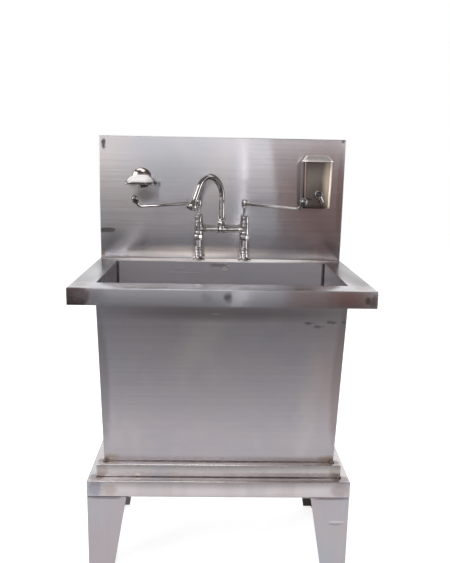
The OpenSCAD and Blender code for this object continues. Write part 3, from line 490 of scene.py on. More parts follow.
class Course:
    """A run of frames along a bent rod or tube; each frame's Z axis follows the run."""

    def __init__(self, start: Matrix) -> None:
        """Starts the run at a first frame, in mm."""
        self.frames = [start]

    def go(self, length: float, steps: int = 1) -> "Course":
        """Runs straight on.

        Args:
            length: Length of the run, in mm.
            steps: Frames laid along it.

        Returns:
            The course itself.
        """
        first = self.frames[-1]
        self.frames += [first @ at(0, 0, length * (i + 1) / steps) for i in range(steps)]
        return self

    def turn(self, radius: float, angle: float, steps: int = 24) -> "Course":
        """Bends towards local +X, or towards -X where the angle is negative.

        Args:
            radius: Bend radius of the middle line, in mm.
            angle: Bend angle in degrees.
            steps: Frames laid along the bend.

        Returns:
            The course itself.
        """
        first, arm = self.frames[-1], math.copysign(radius, angle)
        for i in range(steps):
            self.frames.append(first @ at(arm, 0, 0) @ turned(angle * (i + 1) / steps, "Y") @ at(-arm, 0, 0))
        return self


@dataclass(frozen=True)
class Ring:
    """One rounded rectangle of a shell, level with the XY plane, in mm."""

    half_x: float
    half_y: float
    corner: float
    z: float
    x: float = 0.0
    y: float = 0.0
    rear_corner: float | None = None

    def spot(self, turn: float) -> Triple:
        """One point of the outline.

        Args:
            turn: Its direction from the middle, in radians.

        Returns:
            The point.
        """
        c, s = math.cos(turn), math.sin(turn)
        bend = self.corner if s < 0 or self.rear_corner is None else self.rear_corner
        return (self.x + math.copysign(self.half_x - bend, c) + bend * c,
                self.y + math.copysign(self.half_y - bend, s) + bend * s, self.z)


class Pen:
    """Draws one piece with mesh operators, in mm of the row frame."""

    def __init__(self) -> None:
        """Starts an empty mesh."""
        self.bm = bmesh.new()

    def _grow(self, loop: list) -> tuple[list, list]:
        """Extrudes a loop of edges.

        Args:
            loop: The edges.

        Returns:
            The new vertices and the new loop.
        """
        grown = bmesh.ops.extrude_edge_only(self.bm, edges=loop)["geom"]
        fresh = [g for g in grown if isinstance(g, bmesh.types.BMVert)]
        known = set(fresh)
        return fresh, once(e for v in fresh for e in v.link_edges if known.issuperset(e.verts))

    def bevel(self, edges: Iterable[bmesh.types.BMEdge], radius: float, steps: int = 3) -> None:
        """Rounds the given edges."""
        bmesh.ops.bevel(self.bm, geom=once(edges), offset=radius, segments=steps, profile=0.5,
                        affect="EDGES", material=-1, clamp_overlap=True)

    def remove(self, faces: list, context: str = "FACES_ONLY") -> None:
        """Takes faces away."""
        bmesh.ops.delete(self.bm, geom=faces, context=context)

    def block(self, low: Triple, high: Triple) -> list[bmesh.types.BMFace]:
        """A plain box.

        Args:
            low: Its lowest corner.
            high: Its highest corner.

        Returns:
            Its faces.
        """
        size = [b - a for a, b in zip(low, high)]
        middle = at(*((a + b) / 2 for a, b in zip(low, high)))
        made = bmesh.ops.create_cube(self.bm, size=1.0, matrix=middle @ Matrix.Diagonal((*size, 1.0)))
        return once(f for v in made["verts"] for f in v.link_faces)

    def slab(self, low: Triple, high: Triple, radius: float) -> "Pen":
        """A box with rounded edges, between two corners."""
        self.bevel((e for f in self.block(low, high) for e in f.edges), radius)
        return self

    def lathe(self, profile: Sequence[Point], place: Matrix, steps: int = 48) -> "Pen":
        """Turns a profile about the local Z axis.

        Args:
            profile: Points as (radius, height).
            place: Where the turned shape goes.
            steps: Faces round the axis.

        Returns:
            The pen itself.
        """
        before = set(self.bm.verts)
        last = bmesh.ops.create_vert(self.bm, co=(profile[0][0], 0, profile[0][1]))["vert"][0]
        geometry: list = [last]
        for (r0, z0), (r1, z1) in zip(profile, profile[1:]):
            grown = bmesh.ops.extrude_vert_indiv(self.bm, verts=[last])
            last = grown["verts"][0]
            bmesh.ops.translate(self.bm, verts=[last], vec=(r1 - r0, 0, z1 - z0))
            geometry += [last, *grown["edges"]]
        bmesh.ops.spin(self.bm, geom=geometry, cent=(0, 0, 0), axis=(0, 0, 1), dvec=(0, 0, 0),
                       angle=2 * math.pi, steps=steps, use_merge=True, use_duplicate=False)
        fresh = [v for v in self.bm.verts if v not in before]
        bmesh.ops.transform(self.bm, matrix=place, verts=fresh)
        bmesh.ops.remove_doubles(self.bm, verts=fresh, dist=0.001)
        return self

    def sweep(self, course: Course, radii: Union[float, Sequence[float]], sides: int = 32) -> "Pen":
        """Runs a circle along a course and closes both ends.

        Args:
            course: Frames that the circle passes.
            radii: One radius, or one for every frame.
            sides: Points round the circle.

        Returns:
            The pen itself.
        """
        frames = course.frames
        sizes = [radii] * len(frames) if isinstance(radii, (int, float)) else list(radii)
        ring = bmesh.ops.create_circle(self.bm, cap_ends=True, radius=sizes[0], segments=sides,
                                       matrix=frames[0])["verts"]
        loop = once(e for v in ring for e in v.link_edges)
        for i in range(1, len(frames)):
            fresh, loop = self._grow(loop)
            grow = Matrix.Scale(sizes[i] / sizes[i - 1], 4)
            bmesh.ops.transform(self.bm, matrix=frames[i] @ grow @ frames[i - 1].inverted(), verts=fresh)
        bmesh.ops.contextual_create(self.bm, geom=loop)
        return self

    def shell(self, rings: Sequence[Ring], sides: int = 72, closed: bool = True) -> "Pen":
        """Joins rounded rectangles into a skin, as the first shape of a piece.

        Args:
            rings: The outlines, in order along the skin.
            sides: Points round each outline.
            closed: Whether the first and the last outline are filled.

        Returns:
            The pen itself.
        """
        layer = self.bm.verts.layers.float.new("turn")
        start = bmesh.ops.create_circle(self.bm, cap_ends=closed, radius=1.0, segments=sides,
                                        matrix=turned(180.0 / sides))["verts"]
        loop = once(e for v in start for e in v.link_edges)
        for vert in start:
            vert[layer] = math.atan2(vert.co.y, vert.co.x)
            vert.co = rings[0].spot(vert[layer])
        for ring in rings[1:]:
            fresh, loop = self._grow(loop)
            for vert in fresh:
                vert.co = ring.spot(vert[layer])
        if closed:
            bmesh.ops.contextual_create(self.bm, geom=loop)
        return self

    def hexagon(self, radius: float, z0: float, z1: float, place: Matrix) -> "Pen":
        """A six-sided nut with rounded edges.

        Args:
            radius: Radius over the corners.
            z0: Height of its foot.
            z1: Height of its top.
            place: Where it goes.

        Returns:
            The pen itself.
        """
        made = bmesh.ops.create_cone(self.bm, cap_ends=True, segments=6, radius1=radius, radius2=radius,
                                     depth=z1 - z0, matrix=place @ at(0, 0, (z0 + z1) / 2))
        self.bevel((e for v in made["verts"] for e in v.link_edges), NUT_EDGE)
        return self

    def lump(self, centre: Triple, radii: Triple) -> None:
        """A small rounded lump, such as a weld spot."""
        size = at(*centre) @ Matrix.Diagonal((*radii, 1.0))
        bmesh.ops.create_icosphere(self.bm, subdivisions=3, radius=1.0, matrix=size)

    def thicken(self, thickness: float) -> None:
        """Gives an open skin a thickness towards its inside."""
        bmesh.ops.recalc_face_normals(self.bm, faces=self.bm.faces[:])
        bmesh.ops.solidify(self.bm, geom=self.bm.faces[:], thickness=thickness)

    def piece(self, name: str, material: Material, body: str = "sink",
              replaces: Sequence[str] = (), slot: str = "", sharp: float = 35.0) -> bpy.types.Object:
        """Ends the drawing and puts the piece in the scene.

        Args:
            name: Name of the piece.
            material: Its finish.
            body: CAD body that it moves with.
            replaces: CAD nodes that it stands for.
            slot: Material slot of the record; not used.
            sharp: Angle in degrees above which an edge stays crisp.

        Returns:
            The new object.
        """
        bmesh.ops.scale(self.bm, vec=(METRES_PER_MM,) * 3, verts=self.bm.verts[:])
        bmesh.ops.remove_doubles(self.bm, verts=self.bm.verts[:], dist=2e-6)
        bmesh.ops.recalc_face_normals(self.bm, faces=self.bm.faces[:])
        mesh = bpy.data.meshes.new(name)
        self.bm.to_mesh(mesh)
        self.bm.free()
        mesh.shade_smooth()
        mesh.set_sharp_from_angle(angle=math.radians(sharp))
        mesh.materials.append(material)
        made = bpy.data.objects.new(name, mesh)
        bpy.context.scene.collection.objects.link(made)
        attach(made, body)
        if replaces:
            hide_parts(*replaces)
        LOG.info("%s: %d faces", name, len(mesh.polygons))
        return made


def dress(nodes: Iterable[str], material: Material) -> None:
    """Gives CAD nodes that stay in sight a finish.

    Args:
        nodes: Names of the nodes.
        material: The finish.
    """
    for name in nodes:
        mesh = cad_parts[name].data
        mesh.materials.clear()
        mesh.materials.append(material)


def facing(faces: Iterable[bmesh.types.BMFace], direction: Triple) -> list[bmesh.types.BMFace]:
    """The faces that look in a direction."""
    return [f for f in faces if f.normal.dot(Vector(direction)) > 0.7]


# Marks on the metal, with painted shade, shadows, highlights and reflections, by the piece that carries them

BROWN = (0.16, 0.09, 0.07)
SOOT = (0.09, 0.08, 0.08)
BLUE = (0.20, 0.22, 0.30)
STRAW = (0.42, 0.31, 0.22)
PALE = (0.62, 0.61, 0.63)
SHADE = (0.26, 0.22, 0.21)
NEARLY_BLACK = (0.05, 0.03, 0.025)
SCRIBBLE = ((0.16, 0.13, 0.14), 0.75, 0.1, 0.2, 2.4)

SPLASH_MARKS_AND_PAINTED_LIGHT = (
    Patch((-170, 239.7, 1215), (230, 1.6, 140), (0.45, 0.46, 0.475), 0.7, 0.0, 0.1, 0.3),
    Patch((76, 239.7, 1130), (40, 1.6, 70), (0.46, 0.445, 0.46), 0.65, 0.0, 0.1, 0.3),
    Patch((-384, 239.7, 1271), (9, 1.6, 22), SOOT, 0.85, 0.15),
    Patch((-376, 239.7, 990), (34, 1.6, 10), SOOT, 0.80, 0.05, 0.7, 1.3),
    # Painted reflection: a brown tint standing in for a brown room mirrored on the right of the splash.
    Patch((340, 239.7, 1120), (150, 1.6, 260), (0.36, 0.25, 0.23), 0.40, 0.0, 0.4, 0.4),
    Patch((388, 239.7, 1130), (16, 1.6, 190), (0.22, 0.16, 0.15), 0.35, 0.0, 0.3, 0.5),
    # Painted shadow of the soap dish on the splash, with a soap stain under it.
    Patch((-250, 239.7, 1108), (52, 1.6, 34), (0.16, 0.145, 0.135), 0.75, 0.0, 0.3, 0.5),
    Patch((350, 239.7, 940), (70, 1.6, 34), BROWN, 0.45, 0.1),
    Patch((391, 239.7, 1289), (7, 1.6, 6), SOOT, 0.6, 0.1),
    Patch((-345, 239.7, 948), (85, 1.6, 60), (0.36, 0.36, 0.37), 0.65, 0.0, 0.3, 0.4),
    # Painted reflection: a bright warm band standing in for the ledge mirrored along the foot of the splash.
    Patch((-70, 239.7, 925), (330, 1.6, 24), (1.0, 0.93, 0.86), 0.75, 0.0, 0.4, 0.4),
    # Painted shade: dark halos on the splash behind the two pillars.
    Patch((-76, 239.7, 935), (30, 1.6, 66), SHADE, 0.7, 0.0, 0.2, 0.3),
    Patch((76, 239.7, 935), (30, 1.6, 66), SHADE, 0.7, 0.0, 0.2, 0.3),
    Patch((-391, 239.7, 915), (12, 1.6, 14), STRAW, 0.6, 0.1),
)
RIM_MARKS_AND_PAINTED_LIGHT = (
    # Painted highlight: a near-white sheen across the ledge behind the bowl, where the splash is mirrored.
    Patch((0, 207, 900), (420, 36, 4), (1.0, 0.97, 0.96), 0.95, 0.16, 0.9, 0.2),
    # Painted shade: the lip's whole front face darker and cooler.
    Patch((0, -261, 876), (460, 8, 60), (0.48, 0.485, 0.52), 0.6, 0.0, 0.7, 0.4),
    Patch((-378, -260, 878), (42, 8, 40), (0.08, 0.045, 0.04), 0.93, 0.05, 0.7, 0.9),
    Patch((-388, -262, 868), (22, 8, 14), SOOT, 0.6, 0.1),
    Patch((322, -260, 878), (78, 8, 44), (0.38, 0.24, 0.22), 0.65, 0.0, 0.1, 1.0),
    Patch((388, -258, 874), (14, 12, 22), BROWN, 0.6, 0.08),
    Patch((373, -260, 876), (11, 8, 14), (0.13, 0.12, 0.08), 0.8, 0.0, 0.3, 0.8),
    Patch((14, -261, 879), (15, 6, 20), (0.09, 0.08, 0.09), 0.85, 0.0, 0.1, 2.2),
    Patch((-44, -261, 880), (22, 6, 24), (0.36, 0.34, 0.36), 0.45, 0.0, 0.1, 2.0),
    Patch((-345, -261, 884), (70, 6, 40), (0.30, 0.26, 0.27), 0.6, 0.0, 0.1, 1.6),
    Patch((-374, 0, 900), (60, 260, 10), (0.30, 0.29, 0.31), 0.88, 0.0, 0.6, 0.6),
    Patch((374, 0, 900), (60, 260, 10), (0.24, 0.22, 0.23), 0.88, 0.0, 0.6, 0.6),
    Patch((-352, 232, 900), (26, 10, 4), BROWN, 0.65, 0.1),
    Patch((-318, 226, 900), (10, 7, 3), SOOT, 0.6, 0.1),
    Patch((318, 228, 900), (40, 10, 4), STRAW, 0.6, 0.1),
    Patch((346, 232, 900), (24, 12, 4), BROWN, 0.5, 0.1),
    Patch((-366, -224, 900), (26, 26, 3), STRAW, 0.35, 0.05),
    Patch((366, -224, 900), (26, 26, 3), STRAW, 0.35, 0.05),
)
BOWL_MARKS_AND_PAINTED_SHADE = (
    Patch((-10, 176, 888), (34, 6, 9), (0.20, 0.18, 0.18), 0.7, 0.2),
    Patch((12, 176, 876), (12, 6, 10), PALE, 0.35, 0.2),
    # Painted shade: near-black strips down the bowl's two rear corners.
    Patch((-337, 172, 780), (9, 18, 280), NEARLY_BLACK, 0.9, 0.0, 0.5, 0.2),
    Patch((335, 172, 780), (9, 18, 280), NEARLY_BLACK, 0.9, 0.0, 0.5, 0.2),
    Patch((0, 20, 560), (110, 90, 8), (0.30, 0.27, 0.25), 0.45, 0.15),
)
CASING_MARKS_AND_PAINTED_SHADOW = (
    # Painted shadow of the rim's lip across the top of the casing's front.
    Patch((0, -178, 818), (420, 12, 34), (0.30, 0.27, 0.28), 0.75, 0.0, 0.2, 0.3),
    Patch((-334, -150, 600), (26, 60, 320), (0.32, 0.30, 0.32), 0.6, 0.0, 0.5, 0.5),
    Patch((334, -150, 620), (28, 60, 320), (0.28, 0.23, 0.23), 0.75, 0.0, 0.5, 0.5),
    Patch((330, -150, 640), (100, 60, 330), (0.56, 0.47, 0.47), 0.5, 0.0, 0.3, 0.5),
    Patch((-120, -150, 430), (220, 60, 120), (0.60, 0.53, 0.55), 0.5, 0.0, 0.1, 0.9),
    Patch((-17, -178, 815), (14, 8, 4), PALE, 0.35, 0.1),
    Patch((236, -175, 792), (19, 8, 6), *SCRIBBLE),
    Patch((264, -175, 782), (19, 8, 6), *SCRIBBLE),
    Patch((300, -175, 795), (21, 8, 6), *SCRIBBLE),
    Patch((332, -175, 796), (9, 8, 5), SOOT, 0.5, 0.1),
    Patch((-320, -110, 358), (36, 14, 16), STRAW, 0.5, 0.05),
    Patch((322, -110, 358), (36, 14, 16), STRAW, 0.55, 0.05),
    Patch((0, -108, 346), (360, 8, 4), SOOT, 0.75, 0.2, 0.6),
)
STEP_MARKS_AND_PAINTED_HIGHLIGHT = (
    # Painted highlight: a near-white band along the top of the step frame.
    Patch((0, -119, 345), (400, 16, 4), (1.0, 0.95, 0.95), 0.8, 0.0, 0.8, 0.4),
    Patch((-344, -128, 325), (26, 10, 26), STRAW, 0.3, 0.05),
    Patch((344, -128, 325), (26, 10, 26), STRAW, 0.3, 0.05),
    Patch((-240, -128, 311), (10, 8, 7), (0.95, 0.90, 0.82), 0.8, 0.0, 0.6, 0.6),
    Patch((-242, -128, 305), (10, 8, 3.5), (0.26, 0.12, 0.09), 0.85, 0.0, 0.6, 0.6),
    Patch((-343, -111, 345), (22, 20, 4), BROWN, 0.55, 0.1),
    Patch((343, -111, 345), (22, 20, 4), BROWN, 0.55, 0.1),
    Patch((0, -128, 306), (380, 5, 3.5), SOOT, 0.6, 0.1, 0.7),
)
BASE_MARKS = (
    Patch((-362, -153, 280), (30, 6, 30), BLUE, 0.55, 0.05),
    Patch((-318, -153, 276), (30, 6, 22), STRAW, 0.4, 0.05),
    Patch((354, -153, 280), (34, 6, 28), (0.40, 0.30, 0.28), 0.5, 0.05),
    Patch((-360, -131, 305), (30, 26, 4), BROWN, 0.5, 0.1),
    Patch((360, -131, 305), (30, 26, 4), BROWN, 0.5, 0.1),
    Patch((0, -153, 256), (400, 5, 2.6), SOOT, 0.5, 0.1, 0.7),
)
LEG_MARKS_AND_PAINTED_SHADE = (
    Patch((-330, -153, 252), (70, 8, 5), SOOT, 0.5, 0.1),
    Patch((330, -153, 252), (70, 8, 5), BROWN, 0.5, 0.1),
    Patch((350, -153, 178), (30, 6, 5), (0.90, 0.86, 0.87), 0.5, 0.05, 0.3, 1.8),
    Patch((350, -153, 170), (30, 6, 5), BROWN, 0.3, 0.05, 0.3, 1.8),
    # Painted shade: dark patches on the rear legs' feet, which stand in shadow.
    Patch((-330, 218.6, 4), (110, 5, 46), (0.08, 0.07, 0.07), 0.85, 0.1, 0.85, 0.3),
    Patch((330, 218.6, 4), (110, 5, 46), (0.02, 0.018, 0.016), 0.95, 0.1, 0.85, 0.3),
)
DISPENSER_PAINTED_LIGHT = (
    # Painted shade on the body's left corner, and a painted cream highlight on its right corner.
    Patch((256, 212, 1150), (19, 70, 130), (0.09, 0.065, 0.055), 0.92, 0.0, 0.6, 0.2),
    Patch((342, 182, 1150), (30, 30, 120), (0.80, 0.69, 0.56), 0.95, 0.22, 0.1, 0.2),
)


# Sheet metal


@dataclass
class SheetBody:
    """Rim, backsplash, bowl, casing, frames and legs. All sizes are in mm."""

    width: float = 800.0
    front: float = -260.0
    rear: float = 260.0
    top: float = 900.0
    lip: float = 45.0
    sheet: float = 1.5
    open_half: float = 336.0
    open_front: float = -188.0
    open_back: float = 176.0
    splash_y: float = 240.0
    splash_top: float = 1295.0
    floor: float = 560.0
    foot: float = 345.0
    lean: float = 84.0 / 555.0
    case_half: float = 340.0
    case_rear: float = 180.0
    step: tuple[float, float, float, float, float] = (360.0, -128.0, 200.0, 305.0, 40.0)
    base: tuple[float, float, float, float, float] = (385.0, -153.0, 225.0, 255.0, 50.0)
    leg_top: float = 115.0
    leg_foot: float = 72.0
    leg_sheet: float = 3.0
    plate: float = 45.0
    plate_nose: float = 15.0
    waste_y: float = 20.0
    waste_hole: float = 25.0
    soft_fold: float = 2.0
    lip_fold: float = 3.0
    mouth_fold: float = 1.0
    bowl_fold: float = 9.0
    leg_fold: float = 5.0
    plate_top: float = 4.0

    def slope_y(self, z: float) -> float:
        """Place of the casing's outer front face at a height."""
        return self.open_front - 4.0 + (self.top - z) * self.lean

    def rim(self) -> None:
        """Folded rim with its lip and the bowl's opening."""
        pen = Pen()
        half = self.width / 2
        faces = pen.block((-half, self.front, self.top - self.lip), (half, self.rear, self.top))
        pen.remove(facing(faces, (0, 0, -1)))
        cover = facing(pen.bm.faces, (0, 0, 1))[0]
        bmesh.ops.inset_region(pen.bm, faces=[cover], thickness=60.0, use_even_offset=True)
        for vert in cover.verts:
            vert.co.x = math.copysign(self.open_half, vert.co.x)
            vert.co.y = self.open_front if vert.co.y < 0 else self.open_back
        pen.remove([cover])
        pen.thicken(self.sheet)
        outer, inner = [], []
        for edge in pen.bm.edges:
            a, b = ends = [v.co for v in edge.verts]
            high = all(c.z > self.top - NEAR for c in ends)
            if all(abs(c.x) > half - NEAR or not self.front + NEAR <= c.y <= self.rear - NEAR for c in ends):
                if high or abs(a.z - b.z) > RUN:
                    outer.append(edge)
            elif high and all(abs(c.x) < self.open_half + NEAR and c.y < self.open_back + NEAR for c in ends):
                inner.append(edge)
        pen.bevel(outer, self.lip_fold, 4)
        pen.bevel([e for e in inner if e.is_valid], self.mouth_fold)
        steel = SheetSteel("rim_steel", rough=0.20, anisotropic=0.9, banding=0.14, patches=RIM_MARKS_AND_PAINTED_LIGHT).build()
        pen.piece("rim_sheet", steel, replaces=["rim"], slot="sheet_steel")

    def backsplash(self) -> None:
        """Folded backsplash, open at its rear."""
        pen = Pen()
        half = self.width / 2
        faces = pen.block((-half, self.splash_y, self.top), (half, self.rear, self.splash_top))
        pen.remove(facing(faces, (0, 1, 0)))
        pen.thicken(self.sheet)
        skin = [e for e in pen.bm.edges if all(v.co.y < self.splash_y + NEAR for v in e.verts)]
        folds = [e for e in pen.bm.edges if abs(e.verts[0].co.y - e.verts[1].co.y) > RUN
                 and all(abs(v.co.x) > half - NEAR and v.co.z > self.splash_top - NEAR for v in e.verts)]
        pen.bevel(skin + folds, self.soft_fold, 4)
        steel = SheetSteel("splash_steel", rough=0.16, anisotropic=1.0, wave_depth=0.05, banding=0.26,
                           patches=SPLASH_MARKS_AND_PAINTED_LIGHT).build()
        pen.piece("backsplash_sheet", steel, replaces=["backsplash"], slot="sheet_steel")

    def bowl(self) -> None:
        """Bowl with a leaning front, rounded corners and a hole for the waste."""
        pen = Pen()
        faces = pen.block((-self.open_half, self.open_front, self.floor),
                          (self.open_half, self.open_back, self.top - self.sheet))
        for vert in pen.bm.verts:
            if vert.co.y < 0 and vert.co.z < self.floor + 1:
                vert.co.y += (self.top - self.floor) * self.lean
        pen.remove(facing(faces, (0, 0, 1)))
        pen.bevel([e for e in pen.bm.edges if not e.is_boundary], self.bowl_fold, 4)
        bottom = min(pen.bm.faces, key=lambda f: f.calc_center_median().z)
        rim = list(bottom.edges)
        pen.remove([bottom])
        hole = bmesh.ops.create_circle(pen.bm, cap_ends=False, radius=self.waste_hole, segments=32,
                                       matrix=at(0, self.waste_y, self.floor))["verts"]
        bmesh.ops.bridge_loops(pen.bm, edges=rim + once(e for v in hole for e in v.link_edges))
        pen.thicken(-self.sheet)
        steel = SheetSteel("bowl_steel", rough=0.26, anisotropic=0.8, patches=BOWL_MARKS_AND_PAINTED_SHADE).build()
        pen.piece("bowl_sheet", steel, replaces=["bowl"], slot="sheet_steel")

    def casing(self) -> None:
        """Front and sides of the casing, folded from one sheet."""
        pen = Pen()
        under = self.top - self.sheet
        faces = pen.block((-self.case_half, self.slope_y(under), self.foot),
                          (self.case_half, self.case_rear - self.sheet, under))
        for vert in pen.bm.verts:
            if vert.co.y < 0 and vert.co.z < self.foot + 1:
                vert.co.y = self.slope_y(self.foot)
        pen.remove([f for way in ((0, 0, 1), (0, 0, -1), (0, 1, 0)) for f in facing(faces, way)])
        pen.thicken(self.sheet)
        folds = [e for e in pen.bm.edges if abs(e.verts[0].co.z - e.verts[1].co.z) > RUN
                 and all(abs(v.co.x) > self.case_half - NEAR and v.co.y < 0 for v in e.verts)]
        pen.bevel(folds, self.soft_fold, 4)
        steel = SheetSteel("casing_steel", (0.57, 0.54, 0.56), rough=0.22, anisotropic=0.9,
                           cool=(0.53, 0.52, 0.565), banding=0.12, patches=CASING_MARKS_AND_PAINTED_SHADOW).build()
        pen.piece("casing_sheet", steel, replaces=["front_panel", "left_panel", "right_panel"],
                  slot="sheet_steel")

    def rails(self, name: str, size: tuple[float, ...], steel: Material) -> None:
        """A frame of square tube, its cross-section swept round a rectangle.

        Args:
            name: Name of the frame.
            size: Half width, front, rear, foot and tube size.
            steel: Finish of the tube.
        """
        half, front, rear, low, tube = size
        bend = self.lip_fold
        slopes = [math.radians(a) for a in (0.0, 22.5, 45.0, 67.5, 90.0)]
        section = [(0.0, bend)]
        section += [(bend - bend * math.cos(t), tube - bend + bend * math.sin(t)) for t in slopes]
        section += [(tube - 1.0, tube), (tube, tube - 1.0), (tube, 1.0), (tube - 1.0, 0.0)]
        section += [(bend - bend * math.sin(t), bend - bend * math.cos(t)) for t in slopes]
        rings = [Ring(half - inset, (rear - front) / 2 - inset, max(0.6, 2.2 - inset), low + z, 0.0,
                      (rear + front) / 2) for inset, z in section]
        nodes = [f"{name}_{side}" for side in ("front", "rear", "left", "right")]
        Pen().shell(rings, 16, False).piece(f"{name}_rails", steel, replaces=nodes, slot="sheet_steel")

    def leg(self, corner: Corner, steel: Material) -> None:
        """One folded, tapered leg with its foot plate.

        Args:
            corner: Where it stands.
            steel: Finish of the sheet.
        """
        pen = Pen()
        faces = pen.block((0, 0, 0), (self.leg_top, self.leg_top, self.base[3]))
        kept = facing(faces, (-1, 0, 0)) + facing(faces, (0, -1, 0))
        pen.remove([f for f in faces if f not in kept], "FACES")
        for vert in pen.bm.verts:
            if vert.co.z < 1 and vert.co.x + vert.co.y > 1:
                vert.co *= self.leg_foot / self.leg_top
        pen.bevel([e for e in pen.bm.edges if all(v.co.xy.length < NEAR for v in e.verts)], self.leg_fold, 4)
        centre = Vector((self.leg_top, self.leg_top, 100.0))
        for face in pen.bm.faces:
            face.normal_update()
            if face.normal.dot(centre - face.calc_center_median()) > 0:
                face.normal_flip()
        bmesh.ops.solidify(pen.bm, geom=pen.bm.faces[:], thickness=self.leg_sheet)
        plate = pen.block((self.leg_sheet, self.leg_sheet, 0.0), (self.plate, self.plate, self.plate_top))
        parts = plate + once(e for f in plate for e in f.edges) + once(v for f in plate for v in f.verts)
        cut = bmesh.ops.bisect_plane(pen.bm, geom=parts, plane_co=(self.plate, self.plate_nose, 0.0),
                                     plane_no=(1, 1, 0), clear_outer=True)["geom_cut"]
        bmesh.ops.holes_fill(pen.bm, edges=[g for g in cut if isinstance(g, bmesh.types.BMEdge)], sides=8)
        side, depth = corner.value
        bmesh.ops.scale(pen.bm, vec=(-side, -depth, 1), verts=pen.bm.verts[:])
        place = (side * self.base[0], self.base[1] if depth < 0 else self.base[2], 0)
        bmesh.ops.translate(pen.bm, vec=place, verts=pen.bm.verts[:])
        node = f"leg_{corner.name.lower()}"
        pen.piece(f"{node}_sheet", steel, replaces=[node], slot="sheet_steel")

    def welds(self) -> None:
        """Weld spots at the corners of the casing's foot and of the frames, and the ledge's seams."""
        pen = Pen()
        y_foot = self.slope_y(self.foot)
        for x, y, z, a, b, c in (
            (-337, y_foot - 1.5, 347, 7, 4, 4), (-329, y_foot - 1, 346, 5, 3, 2.5),
            (337, y_foot - 1.5, 347, 7, 4, 4.5), (327, y_foot - 1, 346, 4, 3, 2.5),
            (-357, -126, 306.5, 6, 4, 3.5), (-350, -127, 306, 5, 3, 2), (357, -126, 306.5, 6, 4, 4),
            (349, -127, 306, 5, 3, 2), (-244, -127.5, 306, 4.5, 2, 3), (-379, -151, 254.5, 4, 2.5, 2),
            (378, -150, 254.8, 6, 3, 3), (372, -151, 248, 4, 2, 2), (-270, -150, 254, 5, 3, 3),
            (271, -150, 254, 5, 3, 3)
        ):
            pen.lump((x, y, z), (a, b, c))
        deep, wide = self.case_rear - y_foot - 2, 2 * self.case_half
        for start, way, length, steps, radius in (
            (at(-340.2, y_foot, self.foot + 0.6), turned(-90, "X"), deep, 12, 1.3),
            (at(340.2, y_foot, self.foot + 0.6), turned(-90, "X"), deep, 12, 1.3),
            (at(-self.case_half, y_foot - 0.4, self.foot + 0.5), turned(90, "Y"), wide, 24, 1.2),
            (at(-398.0, self.splash_y - 0.3, self.top + 0.3), turned(90, "Y"), 796.0, 24, 0.9),
        ):
            pen.sweep(Course(start @ way).go(length, steps), radius, 10)
        pen.piece("weld_beads", WeldMetal().build(), slot="sheet_steel")

    def build(self) -> None:
        """Builds and dresses all of the sheet metal."""
        self.rim()
        self.backsplash()
        self.bowl()
        self.casing()
        steel = SheetSteel("step_steel", (0.76, 0.72, 0.71), patches=STEP_MARKS_AND_PAINTED_HIGHLIGHT).build()
        self.rails("step", self.step, steel)
        steel = SheetSteel("base_steel", (0.78, 0.73, 0.735), rough=0.26, patches=BASE_MARKS).build()
        self.rails("base", self.base, steel)
        steel = SheetSteel("leg_steel", (0.62, 0.57, 0.595), Axis.UPRIGHT, 0.34, patches=LEG_MARKS_AND_PAINTED_SHADE).build()
        for corner in Corner:
            self.leg(corner, steel)
        self.welds()
        plain = SheetSteel("hidden_steel", (0.42, 0.41, 0.42), Axis.UPRIGHT, 0.42).build()
        dress(["splash_stiffeners", "rear_panel", "dispenser_back"], plain)


# Mixer


